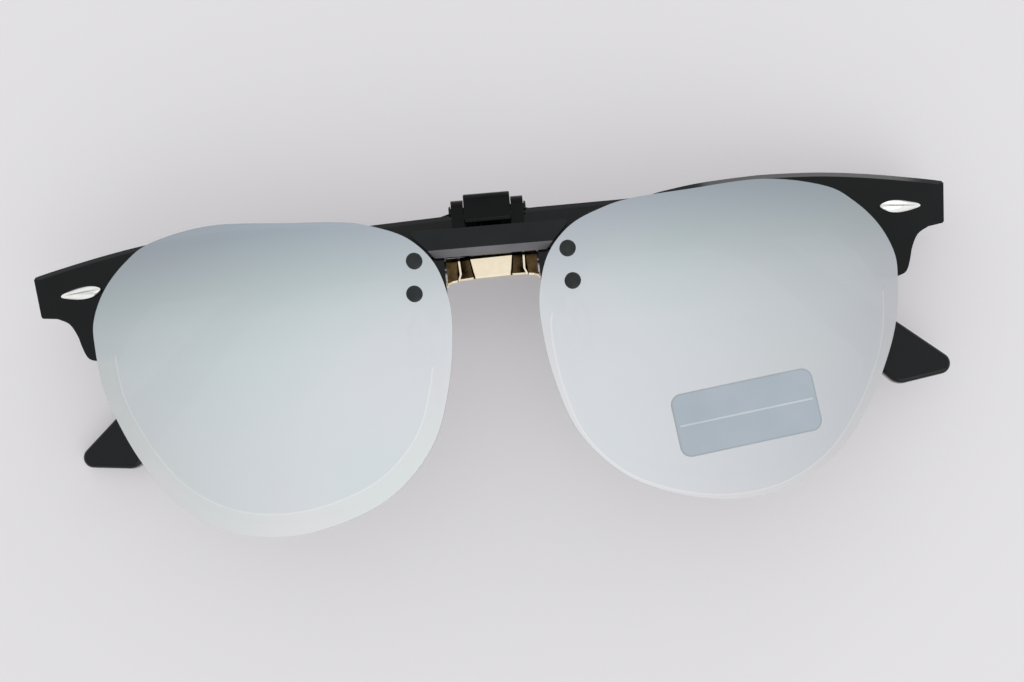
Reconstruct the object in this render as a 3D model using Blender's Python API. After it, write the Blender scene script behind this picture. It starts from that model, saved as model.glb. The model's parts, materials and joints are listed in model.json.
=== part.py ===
# Half-rim browline spectacles carrying a spring-clip pair of mirror sun lenses.
# They lie face up on their folded arms. Metres, +Z up.
# The wearer's left is +X, the top of the glasses is +Y and the front looks up along +Z.
# Pieces of the front are drawn flat, with z = 0 on the brow's front face at the nose,
# and then bent back together along one cylinder, so the gaps between them stay even.

import math

import bmesh
import bpy
from mathutils import Matrix, Vector

# Fits between pieces
SEAT_GAP = 0.00025
RUNNING_GAP = 0.0001
CUT_OVERRUN = 0.002

# Edges sharper than these are left sharp, or are bevelled where a bevel is put on
SMOOTH_DEG = 32
BEVEL_DEG = 40

# Arcs are drawn in steps no coarser than these
ARC_TURN_DEG = 22
ARC_LENGTH = 0.0024

# Size of the front: a bridge's width, two lenses and the two ends that carry the arms
LENS_WIDTH = 0.0512
LENS_HEIGHT = 0.0394
BRIDGE_WIDTH = 0.0180
END_REACH = 0.0120
HALF_BRIDGE = BRIDGE_WIDTH / 2
HALF_FRONT = HALF_BRIDGE + LENS_WIDTH + END_REACH

# Front curve, followed in flat strips, and how far it takes the front's ends back
FRONT_CURVE_RADIUS = 0.300
STRIP_WIDTH = 0.004
END_SAG = HALF_FRONT ** 2 / (2 * FRONT_CURVE_RADIUS)

# Brow bar
BROW_HEIGHT = 0.01015
BROW_THICKNESS = 0.0042
BROW_EDGE_RADIUS = 0.0007
BROW_WAIST_BOTTOM = 0.0023
BROW_TAIL_TIP_INSET = 0.0002
BROW_TAIL_TIP_X = HALF_BRIDGE + BROW_TAIL_TIP_INSET
BROW_TAIL_TIP_Y = -0.0080
BROW_TAIL_KNEE_Y = -0.0045
BROW_CORNER_RADIUS = 0.0008
# Upper edge from the middle outwards: shares of the half width and of the brow's height
BROW_TOP_SHARES = (
    (0.0, 0.822), (0.084, 0.833), (0.216, 0.826), (0.328, 0.828), (0.377, 0.885), (0.457, 0.958),
    (0.554, 0.995), (0.615, 1.0), (0.726, 0.966), (0.835, 0.881), (0.947, 0.759), (1.0, 0.690),
)
# Outer end, from its lower corner round to the tail's tip, in the same shares
BROW_END_SHARES = (
    (0.989, 0.034), (0.953, -0.005), (0.927, -0.108), (0.911, -0.296), (0.903, -0.473),
    (0.895, -0.620), (0.885, -0.700), (0.863, -0.749),
)
END_CORNER_RADIUS = 0.0009

# Block behind each end of the brow, which carries the hinge
END_BLOCK_INSET = 0.0005
END_BLOCK_LENGTH = 0.0110
END_BLOCK_INNER_X = HALF_FRONT - END_BLOCK_LENGTH
END_BLOCK_REACH = 0.0045
END_BLOCK_DEPTH = END_SAG + END_BLOCK_REACH
END_BLOCK_BITE = 0.0036
END_BLOCK_EDGE_RADIUS = 0.0004
END_BLOCK_CORNER_RADIUS = 0.0008

# Lens shape, shared by the frame's own lenses and the sun lenses:
# shares of the half width and half height, round from the temple side over the top
LENS_SHAPE_SHARES = (
    (0.960, 0.052), (0.990, 0.290), (0.988, 0.472), (0.914, 0.664), (0.785, 0.825), (0.625, 0.934),
    (0.287, 1.0), (-0.150, 0.965), (-0.454, 0.934), (-0.624, 0.885), (-0.792, 0.797),
    (-0.918, 0.645), (-0.981, 0.455), (-1.0, 0.230), (-0.957, -0.140), (-0.847, -0.503),
    (-0.623, -0.787), (-0.327, -0.944), (-0.012, -1.0), (0.301, -0.937), (0.570, -0.747),
    (0.763, -0.463), (0.890, -0.180),
)
LENS_STEPS_PER_SPAN = 3

# Frame's own lens
LENS_TOP_Y = 0.0043
LENS_CENTRE_X = HALF_BRIDGE + LENS_WIDTH / 2
LENS_CENTRE_Y = LENS_TOP_Y - LENS_HEIGHT / 2
LENS_FRONT_DEPTH = 0.0012
LENS_THICKNESS = 0.0018
LENS_GRIP = 0.0010

# Nylon rim cord round the lower edge of each frame lens
RIM_CORD_RADIUS = 0.00025
RIM_CORD_SIDES = 6

# Nose bridge
BRIDGE_END_INSET = 0.0020
BRIDGE_KNEE_INSET = 0.0032
BRIDGE_HALF_SPAN = HALF_BRIDGE - BRIDGE_END_INSET
BRIDGE_KNEE_X = HALF_BRIDGE - BRIDGE_KNEE_INSET
BRIDGE_FACET_HALF_TOP = 0.0032
BRIDGE_FACET_HALF_BOTTOM = 0.0027
BRIDGE_TOP_Y = 0.0017
BRIDGE_BOTTOM_Y = -0.0016
BRIDGE_END_DROP = 0.0005
BRIDGE_THICKNESS = 0.0024
BRIDGE_FRONT_DEPTH = 0.0003
BRIDGE_END_SETBACK = 0.0009
BRIDGE_CHAMFER = 0.0006

# Almond studs on the brow's ends
STUD_INSET = 0.0077
STUD_CENTRE_X = HALF_FRONT - STUD_INSET
STUD_CENTRE_Y = 0.0033
STUD_LENGTH = 0.0066
STUD_HEIGHT = 0.0020
STUD_RISE = 0.0006
STUD_BASE = 0.0003
STUD_ROUND_SHARE = 0.62

# Arm hinges
HINGE_INSET = 0.0057
HINGE_X = HALF_FRONT - HINGE_INSET
HINGE_Y = 0.0046
HINGE_REACH = 0.0017
HINGE_DEPTH = END_BLOCK_DEPTH + HINGE_REACH
HINGE_HEIGHT = 0.0051
KNUCKLE_RADIUS = 0.0013
KNUCKLE_HEIGHT = 0.0016
PIN_RADIUS = 0.00055
LEAF_THICKNESS = 0.0009
FRONT_LEAF_LENGTH = 0.0026
ARM_LEAF_START = 0.0020
ARM_LEAF_LENGTH = 0.0075
ARM_LEAF_HEIGHT = 0.0046
ARM_LEAF_THICKNESS = 0.0008
SCREW_HEAD_RADIUS = 0.0011
SCREW_HEAD_HEIGHT = 0.0006
SCREW_SLOT_WIDTH = 0.0004
SCREW_SLOT_DEPTH = 0.0003
ROUND_STEPS = 16

# Arms. The outer one, hinged on the wearer's left, lies flat on the table under the other,
# and the front leans by as much as the other's hinge has to stand higher.
# Both bend down before they reach the other one's hinge.
STACK_RISE = 0.0058
FOLD_STACK_DEG = math.degrees(math.asin(STACK_RISE / (2 * HINGE_X)))
ARM_BUTT_GAP = 0.0003
ARM_OUTER_OFFSET = 0.0055
ARM_BUTT_THICKNESS = 0.0040
ARM_TIP_THICKNESS = 0.0030
ARM_BUTT_HEIGHT = 0.0054
ARM_WAIST_HEIGHT = 0.0044
ARM_TIP_WIDTH = 0.0087
ARM_BEND_INSET = 0.0286
ARM_BEND_START = 2 * HINGE_X - ARM_BEND_INSET
ARM_DROP_DEG = 43.7
ARM_DROP_LENGTH = 0.0439
ARM_END_CUT_DEG = 7.6
ARM_BEND_OUTER_RADIUS = 0.034
ARM_BEND_INNER_RADIUS = 0.026
ARM_TIP_RADIUS = 0.0017
ARM_HEEL_RADIUS = 0.0026
ARM_EDGE_RADIUS = 0.0007

# Nose pads
PAD_LENGTH = 0.0135
PAD_WIDTH = 0.0070
PAD_THICKNESS = 0.0027
PAD_INSET = 0.0030
PAD_X = HALF_BRIDGE + PAD_INSET
PAD_Y = -0.0130
PAD_DEPTH = 0.0088
PAD_TURN_DEG = 50.0
PAD_SPLAY_DEG = 9.0
PAD_SIDES = 20
# The pad's rings from its face to its back: shares of its half width and of its thickness
PAD_RING_SHARES = ((0.50, -0.5), (0.86, -0.32), (1.0, 0.02), (0.88, 0.36), (0.56, 0.5))
PAD_CUP_RADIUS = 0.0016
PAD_CUP_HEIGHT = 0.0008
PAD_SCREW_RADIUS = 0.0004
PAD_SCREW_BITE = 0.0011
PAD_SCREW_HEAD_RADIUS = 0.0008
PAD_SCREW_HEAD_HEIGHT = 0.0004
PAD_SCREW_SIDES = 12
PAD_WIRE_RADIUS = 0.00045
PAD_WIRE_ROOT_INSET = 0.0034
PAD_WIRE_ROOT_X = HALF_BRIDGE - PAD_WIRE_ROOT_INSET
PAD_WIRE_SIDES = 8
# The wire's loop between its root and its cup: shares of the way across, down and back
PAD_WIRE_SHARES = ((0.05, 0.03, 0.60), (0.30, 0.16, 1.15), (0.72, 0.36, 1.15), (1.02, 0.68, 0.95))

# Clip-on sun lenses
CLIP_ROLL_DEG = -1.25
CLIP_LENS_EXTRA_WIDTH = 0.0046
CLIP_LENS_EXTRA_HEIGHT = 0.0090
CLIP_LENS_TOP_Y = 0.0099
CLIP_LENS_WIDTH = LENS_WIDTH + CLIP_LENS_EXTRA_WIDTH
CLIP_LENS_HEIGHT = LENS_HEIGHT + CLIP_LENS_EXTRA_HEIGHT
CLIP_LENS_CENTRE_Y = CLIP_LENS_TOP_Y - CLIP_LENS_HEIGHT / 2
CLIP_LENS_BACK = 0.0021
CLIP_LENS_THICKNESS = 0.0010
CLIP_LENS_EDGE_RADIUS = 0.0002

# Clip bar between the sun lenses
CLIP_BAR_BACK = 0.0004
CLIP_BAR_FRONT = 0.0032
CLIP_BAR_TOP_Y = 0.0059
CLIP_BAR_KNEE_Y = 0.0027
CLIP_BAR_BOTTOM_Y = 0.0017
CLIP_BAR_LIP_FRONT = 0.0014
CLIP_BAR_TOP_REACH = 0.0036
CLIP_BAR_BOTTOM_INSET = 0.0004
CLIP_BAR_TOP_HALF = HALF_BRIDGE + CLIP_BAR_TOP_REACH
CLIP_BAR_BOTTOM_HALF = HALF_BRIDGE - CLIP_BAR_BOTTOM_INSET
CLIP_TAB_BACK = 0.0009
CLIP_TAB_THICKNESS = 0.0010
CLIP_TAB_HALF_WIDTH = 0.0019
CLIP_TAB_CORNER_RADIUS = 0.0017
CLIP_TAB_ROOT_INSET = 0.0010
CLIP_TAB_ROOT_X = HALF_BRIDGE - CLIP_TAB_ROOT_INSET
CLIP_TAB_TOP_Y = 0.0054
RIVET_REACH = 0.0027
RIVET_X = HALF_BRIDGE + RIVET_REACH
RIVET_LOWER_SPREAD = 0.00035
RIVET_UPPER_Y = 0.0014
RIVET_LOWER_Y = -0.0036
RIVET_HEAD_RADIUS = 0.0013
RIVET_HEAD_HEIGHT = 0.0005
RIVET_CROWN_RADIUS = 0.0008
RIVET_SHANK_RADIUS = 0.00055
RIVET_TAIL_RADIUS = 0.0010
RIVET_TAIL_HEIGHT = 0.00035

# Jaw that grips the brow from behind, and its pin and spring
JAW_PIN_Y = 0.0086
JAW_PIN_Z = 0.00175
JAW_PIN_RADIUS = 0.0005
JAW_PIN_HEAD_RADIUS = 0.0008
JAW_PIN_HEAD_HEIGHT = 0.0003
EAR_INNER_X = 0.0037
EAR_OUTER_X = 0.0055
EAR_TOP_Y = 0.0102
EAR_FRONT_Z = 0.0032
EAR_RADIUS = 0.0013
JAW_HALF_WIDTH = 0.0034
JAW_TOP_Y = 0.0112
JAW_FRONT_Z = 0.0036
JAW_LEVER_BOTTOM_Y = 0.0069
JAW_LEVER_BACK_Z = 0.0011
JAW_BRIDGE_BOTTOM_Y = 0.0090
JAW_YOKE_THICKNESS = 0.0012
JAW_YOKE_SHOULDER_Y = 0.0082
JAW_YOKE_BOTTOM_Y = 0.0048
CLAW_REACH = 0.0018
CLAW_WIDTH = 0.0032
CLAW_OUTER_X = HALF_BRIDGE + CLAW_REACH
CLAW_INNER_X = CLAW_OUTER_X - CLAW_WIDTH
CLAW_BOTTOM_Y = 0.0009
CLAW_CORNER_RADIUS = 0.0012
CLAW_PAD_THICKNESS = 0.0011
CLAW_PAD_MARGIN = 0.0002
CLAW_PAD_HEIGHT = 0.0044
CLAW_BITE_GAP = 0.0003
SPRING_WIRE_RADIUS = 0.00016
SPRING_COIL_RADIUS = 0.00095
SPRING_TURNS = 3
SPRING_PITCH = 0.00078
SPRING_SIDES = 6
SPRING_STEPS_PER_TURN = 10
POCKET_HALF_WIDTH = 0.0018
POCKET_TOP_Y = 0.0100
POCKET_FRONT_Z = 0.0031


# Scene and materials

def clear_scene():
    for obj in list(bpy.data.objects):
        bpy.data.objects.remove(obj, do_unlink=True)


def make_material(name, colour, roughness, metallic=0.0, transmission=0.0):
    material = bpy.data.materials.new(name)
    material.use_nodes = True
    shader = material.node_tree.nodes["Principled BSDF"]
    shader.inputs["Base Color"].default_value = (*colour, 1.0)
    shader.inputs["Roughness"].default_value = roughness
    shader.inputs["Metallic"].default_value = metallic
    shader.inputs["Transmission Weight"].default_value = transmission
    material.diffuse_color = (*colour, 1.0)
    return material


def make_empty(name, parent=None, location=(0, 0, 0), turn=(0, 0, 0)):
    empty = bpy.data.objects.new(name, None)
    bpy.context.scene.collection.objects.link(empty)
    empty.parent = parent
    empty.location = location
    empty.rotation_euler = turn
    return empty


def make_object(name, bm, material, parent, smooth_deg=SMOOTH_DEG):
    bmesh.ops.recalc_face_normals(bm, faces=bm.faces)
    if bm.calc_volume(signed=True) < 0:
        bmesh.ops.reverse_faces(bm, faces=bm.faces)
    mesh = bpy.data.meshes.new(name)
    bm.to_mesh(mesh)
    bm.free()
    mesh.materials.append(material)
    mesh.shade_smooth()
    mesh.set_sharp_from_angle(angle=math.radians(smooth_deg))
    obj = bpy.data.objects.new(name, mesh)
    bpy.context.scene.collection.objects.link(obj)
    obj.parent = parent
    return obj


def add_bevel(obj, width, segments=2, angle_deg=BEVEL_DEG):
    bevel = obj.modifiers.new("rounded edges", "BEVEL")
    bevel.width = width
    bevel.segments = segments
    bevel.limit_method = "ANGLE"
    bevel.angle_limit = math.radians(angle_deg)
    bevel.use_clamp_overlap = True
    return bevel


def add_boolean(obj, tool, operation):
    boolean = obj.modifiers.new(operation.lower(), "BOOLEAN")
    boolean.operation = operation
    boolean.solver = "EXACT"
    boolean.object = tool
    tool.hide_render = True
    tool.display_type = "WIRE"
    return boolean


# Outlines

def fillet(corners):
    """Turn (x, y, radius) corners into a closed outline whose corners are arcs."""
    outline = []
    count = len(corners)
    for index, (x, y, radius) in enumerate(corners):
        here = Vector((x, y))
        before = Vector(corners[index - 1][:2]) - here
        after = Vector(corners[(index + 1) % count][:2]) - here
        if not radius:
            outline.append((x, y))
            continue
        half_angle = before.angle(after) / 2
        reach = radius / math.tan(half_angle)
        middle = (before.normalized() + after.normalized()).normalized()
        centre = here + middle * radius / math.sin(half_angle)
        start = here + before.normalized() * reach - centre
        turn = math.pi - 2 * half_angle
        side = 1 if before.x * after.y - before.y * after.x < 0 else -1
        steps = max(2, round(turn / math.radians(ARC_TURN_DEG)), round(turn * radius / ARC_LENGTH))
        for step in range(steps + 1):
            spoke = start.copy()
            spoke.rotate(Matrix.Rotation(side * turn * step / steps, 2))
            outline.append(tuple(centre + spoke))
    return outline


def spline(points, steps, closed=False):
    """Catmull-Rom curve through the points, with this many steps between neighbours."""
    count = len(points)
    spans = count if closed else count - 1
    curve = []
    for span in range(spans):
        if closed:
            near = [Vector(points[(span + offset) % count]) for offset in (-1, 0, 1, 2)]
        else:
            near = [Vector(points[min(max(span + offset, 0), count - 1)]) for offset in (-1, 0, 1, 2)]
        for step in range(steps):
            t = step / steps
            curve.append(0.5 * (
                2 * near[1] + (near[2] - near[0]) * t
                + (2 * near[0] - 5 * near[1] + 4 * near[2] - near[3]) * t ** 2
                + (3 * near[1] - near[0] - 3 * near[2] + near[3]) * t ** 3))
    if not closed:
        curve.append(Vector(points[-1]))
    return [tuple(point) for point in curve]


def lens_outline(width, height, centre_x, centre_y, grow=0.0):
    half_width = width / 2 + grow
    half_height = height / 2 + grow
    points = [(centre_x + across * half_width, centre_y + up * half_height)
              for across, up in LENS_SHAPE_SHARES]
    return spline(points, LENS_STEPS_PER_SPAN, closed=True)


def frame_lens_outline(grow=0.0):
    return lens_outline(LENS_WIDTH, LENS_HEIGHT, LENS_CENTRE_X, LENS_CENTRE_Y, grow)


def mirrored(outline, side):
    return [(side * x, y) for x, y in outline]


def circle(centre_x, centre_y, radius, steps=ROUND_STEPS):
    return [(centre_x + radius * math.cos(2 * math.pi * step / steps),
             centre_y + radius * math.sin(2 * math.pi * step / steps)) for step in range(steps)]


# Solids

def prism(outline, low, high, axes="xyz"):
    """Extrude an outline. The third axis named is the one it is extruded along."""
    bm = bmesh.new()
    order = ["xyz".index(letter) for letter in axes]

    def place(first, second, along):
        spot = [0.0, 0.0, 0.0]
        spot[order[0]] = first
        spot[order[1]] = second
        spot[order[2]] = along
        return bm.verts.new(spot)

    floor = [place(x, y, low) for x, y in outline]
    roof = [place(x, y, high) for x, y in outline]
    bm.faces.new(floor)
    bm.faces.new(roof)
    count = len(outline)
    for index in range(count):
        following = (index + 1) % count
        bm.faces.new((floor[index], floor[following], roof[following], roof[index]))
    bmesh.ops.recalc_face_normals(bm, faces=bm.faces)
    return bm


def turned(profile, steps=ROUND_STEPS):
    """Turn (radius, height) points, the first and last on the axis, about Z."""
    bm = bmesh.new()
    rings = []
    for radius, height in profile:
        if not radius:
            rings.append([bm.verts.new((0, 0, height))])
        else:
            rings.append([bm.verts.new((x, y, height)) for x, y in circle(0, 0, radius, steps)])
    for lower, upper in zip(rings, rings[1:]):
        for index in range(steps):
            following = (index + 1) % steps
            loop = [lower[index % len(lower)], lower[following % len(lower)],
                    upper[following % len(upper)], upper[index % len(upper)]]
            bm.faces.new(list(dict.fromkeys(loop)))
    return bm


def tube(path, radius, sides):
    """A round wire through the path's points, closed by flat ends."""
    bm = bmesh.new()
    points = [Vector(point) for point in path]
    normal = (points[1] - points[0]).orthogonal()
    rings = []
    for index, point in enumerate(points):
        ahead = points[min(index + 1, len(points) - 1)]
        behind = points[max(index - 1, 0)]
        along = (ahead - behind).normalized()
        normal = (normal - along * normal.dot(along)).normalized()
        across = along.cross(normal)
        rings.append([bm.verts.new(point + radius * (normal * x + across * y))
                      for x, y in circle(0, 0, 1, sides)])
    for first, second in zip(rings, rings[1:]):
        for index in range(sides):
            following = (index + 1) % sides
            bm.faces.new((first[index], first[following], second[following], second[index]))
    bm.faces.new(rings[0])
    bm.faces.new(rings[-1])
    return bm


def sag(x):
    """How far the bent front stands at this x, read on flat strips."""
    strip = math.floor(abs(x) / STRIP_WIDTH)
    share = abs(x) / STRIP_WIDTH - strip
    near = (strip * STRIP_WIDTH) ** 2
    far = ((strip + 1) * STRIP_WIDTH) ** 2
    return -(near + (far - near) * share) / (2 * FRONT_CURVE_RADIUS)


def bend(bm):
    """Cut the flat piece at the strips' edges and bend it back along the front's curve."""
    reach = max(abs(vert.co.x) for vert in bm.verts)
    strips = math.ceil(reach / STRIP_WIDTH)
    for strip in range(-strips, strips + 1):
        bmesh.ops.bisect_plane(
            bm, geom=bm.verts[:] + bm.edges[:] + bm.faces[:], dist=STRIP_WIDTH * 1e-5,
            plane_co=(strip * STRIP_WIDTH, 0, 0), plane_no=(1, 0, 0))
    for vert in bm.verts:
        vert.co.z += sag(vert.co.x)
    return bm


def shifted(bm, matrix):
    bmesh.ops.transform(bm, matrix=matrix, verts=bm.verts)
    return bm


# Front of the spectacles

def brow_half_outline():
    """Right half of the brow, from the middle of its top round to the middle of its underside."""
    top = spline([(x * HALF_FRONT, y * BROW_HEIGHT) for x, y in BROW_TOP_SHARES], 2)
    end = [(x * HALF_FRONT, y * BROW_HEIGHT) for x, y in BROW_END_SHARES]
    corner_x, corner_y = top[-1]
    lower_x, lower_y = end[0]
    rounded = fillet(((*top[-2], 0), (corner_x, corner_y, END_CORNER_RADIUS),
                      (lower_x, lower_y, END_CORNER_RADIUS), (*end[1], 0)))
    over = [(x, y) for x, y in frame_lens_outline(-LENS_GRIP)
            if y > (end[-1][1] if x > LENS_CENTRE_X else BROW_TAIL_TIP_Y)]
    inner_wall = BRIDGE_HALF_SPAN + SEAT_GAP
    middle = fillet(((BROW_TAIL_TIP_X, BROW_TAIL_TIP_Y, 0),
                     (inner_wall, BROW_TAIL_KNEE_Y, 0),
                     (inner_wall, BROW_WAIST_BOTTOM, BROW_CORNER_RADIUS),
                     (0, BROW_WAIST_BOTTOM, 0)))
    return top[:-2] + rounded + spline(end[1:], 2)[1:] + over + middle


def make_brow_bar(parent, material):
    half = brow_half_outline()
    whole = half + [(-x, y) for x, y in reversed(half) if x > 0]
    brow = make_object("brow_bar", bend(prism(whole, -BROW_THICKNESS, 0.0)), material, parent)
    add_bevel(brow, BROW_EDGE_RADIUS, segments=3)
    for side in (1, -1):
        block = end_block(side, parent, material)
        add_boolean(brow, block, "UNION")
    for side in (1, -1):
        deep = LENS_FRONT_DEPTH + LENS_THICKNESS + SEAT_GAP
        near = LENS_FRONT_DEPTH - SEAT_GAP
        outline = mirrored(frame_lens_outline(SEAT_GAP), side)
        groove = make_object("lens_groove_tool", bend(prism(outline, -deep, -near)), material, parent)
        add_boolean(brow, groove, "DIFFERENCE")
    return brow


def end_block(side, parent, material):
    half = HALF_FRONT - END_BLOCK_INSET
    top_share_in = BROW_TOP_SHARES[-3][1]
    top_share_out = BROW_TOP_SHARES[-1][1]
    top_in = top_share_in * BROW_HEIGHT - END_BLOCK_INSET
    top_out = top_share_out * BROW_HEIGHT - END_BLOCK_INSET
    corners = ((END_BLOCK_INNER_X, END_BLOCK_INSET, END_BLOCK_CORNER_RADIUS),
               (half, END_BLOCK_INSET, END_BLOCK_CORNER_RADIUS),
               (half, top_out, END_BLOCK_CORNER_RADIUS),
               (END_BLOCK_INNER_X, top_in, END_BLOCK_CORNER_RADIUS))
    bm = prism(mirrored(fillet(corners), side), -END_BLOCK_DEPTH, END_BLOCK_BITE - END_BLOCK_DEPTH)
    block = make_object("end_block_tool", bm, material, parent)
    add_bevel(block, END_BLOCK_EDGE_RADIUS)
    return block


def make_frame_lens(side, name, parent, material):
    outline = mirrored(frame_lens_outline(), side)
    deep = LENS_FRONT_DEPTH + LENS_THICKNESS
    return make_object(name, bend(prism(outline, -deep, -LENS_FRONT_DEPTH)), material, parent)


def make_rim_cord(side, name, parent, material):
    """The cord runs under the lens from the brow's outer tail to its inner one."""
    ring = frame_lens_outline(RIM_CORD_RADIUS + SEAT_GAP)
    outer_stop = BROW_END_SHARES[-1][1] * BROW_HEIGHT - SEAT_GAP
    inner_stop = BROW_TAIL_TIP_Y - SEAT_GAP
    low = [point for point in ring[len(ring) // 4:] + ring[:len(ring) // 4]
           if point[1] < (outer_stop if point[0] > LENS_CENTRE_X else inner_stop)]
    middle = -(LENS_FRONT_DEPTH + LENS_THICKNESS / 2)
    path = [(side * x, y, middle + sag(x)) for x, y in low]
    return make_object(name, tube(path, RIM_CORD_RADIUS, RIM_CORD_SIDES), material, parent)


def make_bridge(parent, material):
    """Faceted metal bridge between the brow's inner tails, flaring down at both ends."""
    front = -BRIDGE_FRONT_DEPTH
    bm = bmesh.new()
    sections = []
    stations = (
        (-BRIDGE_HALF_SPAN, -BRIDGE_HALF_SPAN, 1, 1),
        (-BRIDGE_KNEE_X, -BRIDGE_KNEE_X, 1, 0),
        (-BRIDGE_FACET_HALF_TOP, -BRIDGE_FACET_HALF_BOTTOM, 0, 0),
        (BRIDGE_FACET_HALF_TOP, BRIDGE_FACET_HALF_BOTTOM, 0, 0),
        (BRIDGE_KNEE_X, BRIDGE_KNEE_X, 1, 0),
        (BRIDGE_HALF_SPAN, BRIDGE_HALF_SPAN, 1, 1),
    )
    for top_x, bottom_x, back_share, drop_share in stations:
        face = front - back_share * BRIDGE_END_SETBACK
        bottom = BRIDGE_BOTTOM_Y - drop_share * BRIDGE_END_DROP
        rear = front - BRIDGE_THICKNESS - back_share * BRIDGE_END_SETBACK
        ring = ((top_x, BRIDGE_TOP_Y, face - BRIDGE_CHAMFER),
                (top_x, BRIDGE_TOP_Y - BRIDGE_CHAMFER, face),
                (bottom_x, bottom, face),
                (bottom_x, bottom, rear),
                (top_x, BRIDGE_TOP_Y, rear))
        sections.append([bm.verts.new(spot) for spot in ring])
    for first, second in zip(sections, sections[1:]):
        for index in range(len(first)):
            following = (index + 1) % len(first)
            bm.faces.new((first[index], first[following], second[following], second[index]))
    bm.faces.new(sections[0])
    bm.faces.new(sections[-1])
    bmesh.ops.triangulate(bm, faces=bm.faces)
    return make_object("bridge", bm, material, parent, smooth_deg=8)


def make_stud(side, name, parent, material):
    """Almond-shaped stud with a ridge along its middle."""
    half_length = STUD_LENGTH / 2
    half_height = STUD_HEIGHT / 2
    round_x = half_length * STUD_ROUND_SHARE
    half = spline([(-half_length, 0), (-round_x, half_height * STUD_ROUND_SHARE), (0, half_height),
                   (round_x, half_height * STUD_ROUND_SHARE), (half_length, 0)], 2)
    outline = half + [(x, -y) for x, y in reversed(half[1:-1])]
    base = SEAT_GAP
    rim = base + STUD_BASE
    bm = bmesh.new()
    floor = [bm.verts.new((x, y, base)) for x, y in outline]
    shoulder = [bm.verts.new((x, y, rim)) for x, y in outline]
    ridge = [bm.verts.new((x, 0, rim + STUD_RISE * (1 - (x / half_length) ** 2)))
             for x, y in half[1:-1]]
    count = len(outline)
    bm.faces.new(floor)
    for index in range(count):
        following = (index + 1) % count
        bm.faces.new((floor[index], floor[following], shoulder[following], shoulder[index]))
    last = len(half) - 1
    for way in (1, -1):
        spots = [shoulder[index * way % count] for index in range(last + 1)]
        bm.faces.new((spots[0], spots[1], ridge[0]))
        bm.faces.new((spots[last], ridge[-1], spots[last - 1]))
        for index in range(1, last - 1):
            bm.faces.new((spots[index], spots[index + 1], ridge[index], ridge[index - 1]))
    bmesh.ops.triangulate(bm, faces=bm.faces)
    for vert in bm.verts:
        vert.co.x = side * (vert.co.x + STUD_CENTRE_X)
        vert.co.y += STUD_CENTRE_Y
    return make_object(name, bend(bm), material, parent, smooth_deg=20)


# Hinges and arms

def knuckle_span(index):
    """Low and high y of one of the hinge's three knuckles, counted from the bottom."""
    pitch = (HINGE_HEIGHT - KNUCKLE_HEIGHT) / 2
    low = HINGE_Y - HINGE_HEIGHT / 2 + index * pitch
    return low, low + KNUCKLE_HEIGHT


def bore_tool(spot, low, high, parent, material):
    outline = circle(*spot, PIN_RADIUS + RUNNING_GAP)
    bm = prism(outline, low - CUT_OVERRUN, high + CUT_OVERRUN, axes="zxy")
    return make_object("bore_tool", bm, material, parent)


def make_front_leaf(side, name, parent, material):
    """Leaf screwed behind the end block, with the lower and upper knuckles."""
    hinge_x = side * HINGE_X
    plate_front = -END_BLOCK_DEPTH - SEAT_GAP
    plate_back = plate_front - LEAF_THICKNESS
    plate_x = HINGE_X - KNUCKLE_RADIUS - SEAT_GAP
    plate_end = plate_x - FRONT_LEAF_LENGTH
    low = HINGE_Y - HINGE_HEIGHT / 2
    plate = [(plate_front, side * plate_end), (plate_front, side * plate_x),
             (plate_back, side * plate_x), (plate_back, side * plate_end)]
    leaf = make_object(name, prism(plate, low, low + HINGE_HEIGHT, axes="zxy"), material, parent)
    neck_x = side * (plate_x - LEAF_THICKNESS)
    for index in (0, 2):
        span = knuckle_span(index)
        barrel = prism(circle(-HINGE_DEPTH, hinge_x, KNUCKLE_RADIUS), *span, axes="zxy")
        neck = [(plate_front, neck_x), (plate_front, hinge_x), (plate_back, hinge_x), (plate_back, neck_x)]
        add_boolean(leaf, make_object("barrel_tool", barrel, material, parent), "UNION")
        neck_bm = prism(neck, *span, axes="zxy")
        add_boolean(leaf, make_object("neck_tool", neck_bm, material, parent), "UNION")
    tool = bore_tool((-HINGE_DEPTH, hinge_x), low, low + HINGE_HEIGHT, parent, material)
    add_boolean(leaf, tool, "DIFFERENCE")
    return leaf


def make_hinge_screw(side, name, parent, material):
    top = HINGE_HEIGHT / 2 + RUNNING_GAP
    profile = ((0, -HINGE_HEIGHT / 2), (PIN_RADIUS, -HINGE_HEIGHT / 2), (PIN_RADIUS, top),
               (SCREW_HEAD_RADIUS, top), (SCREW_HEAD_RADIUS, top + SCREW_HEAD_HEIGHT / 2),
               (SCREW_HEAD_RADIUS - SCREW_HEAD_HEIGHT / 2, top + SCREW_HEAD_HEIGHT),
               (0, top + SCREW_HEAD_HEIGHT))
    seat = Matrix.Translation((side * HINGE_X, HINGE_Y, -HINGE_DEPTH)) @ Matrix.Rotation(-math.pi / 2, 4, "X")
    screw = make_object(name, shifted(turned(profile), seat), material, parent)
    slot_half = SCREW_SLOT_WIDTH / 2
    reach = SCREW_HEAD_RADIUS + CUT_OVERRUN
    slot = [(-reach, -slot_half), (reach, -slot_half), (reach, slot_half), (-reach, slot_half)]
    floor = top + SCREW_HEAD_HEIGHT - SCREW_SLOT_DEPTH
    slot_bm = shifted(prism(slot, floor, floor + CUT_OVERRUN), seat)
    add_boolean(screw, make_object("slot_tool", slot_bm, material, parent), "DIFFERENCE")
    return screw


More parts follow.
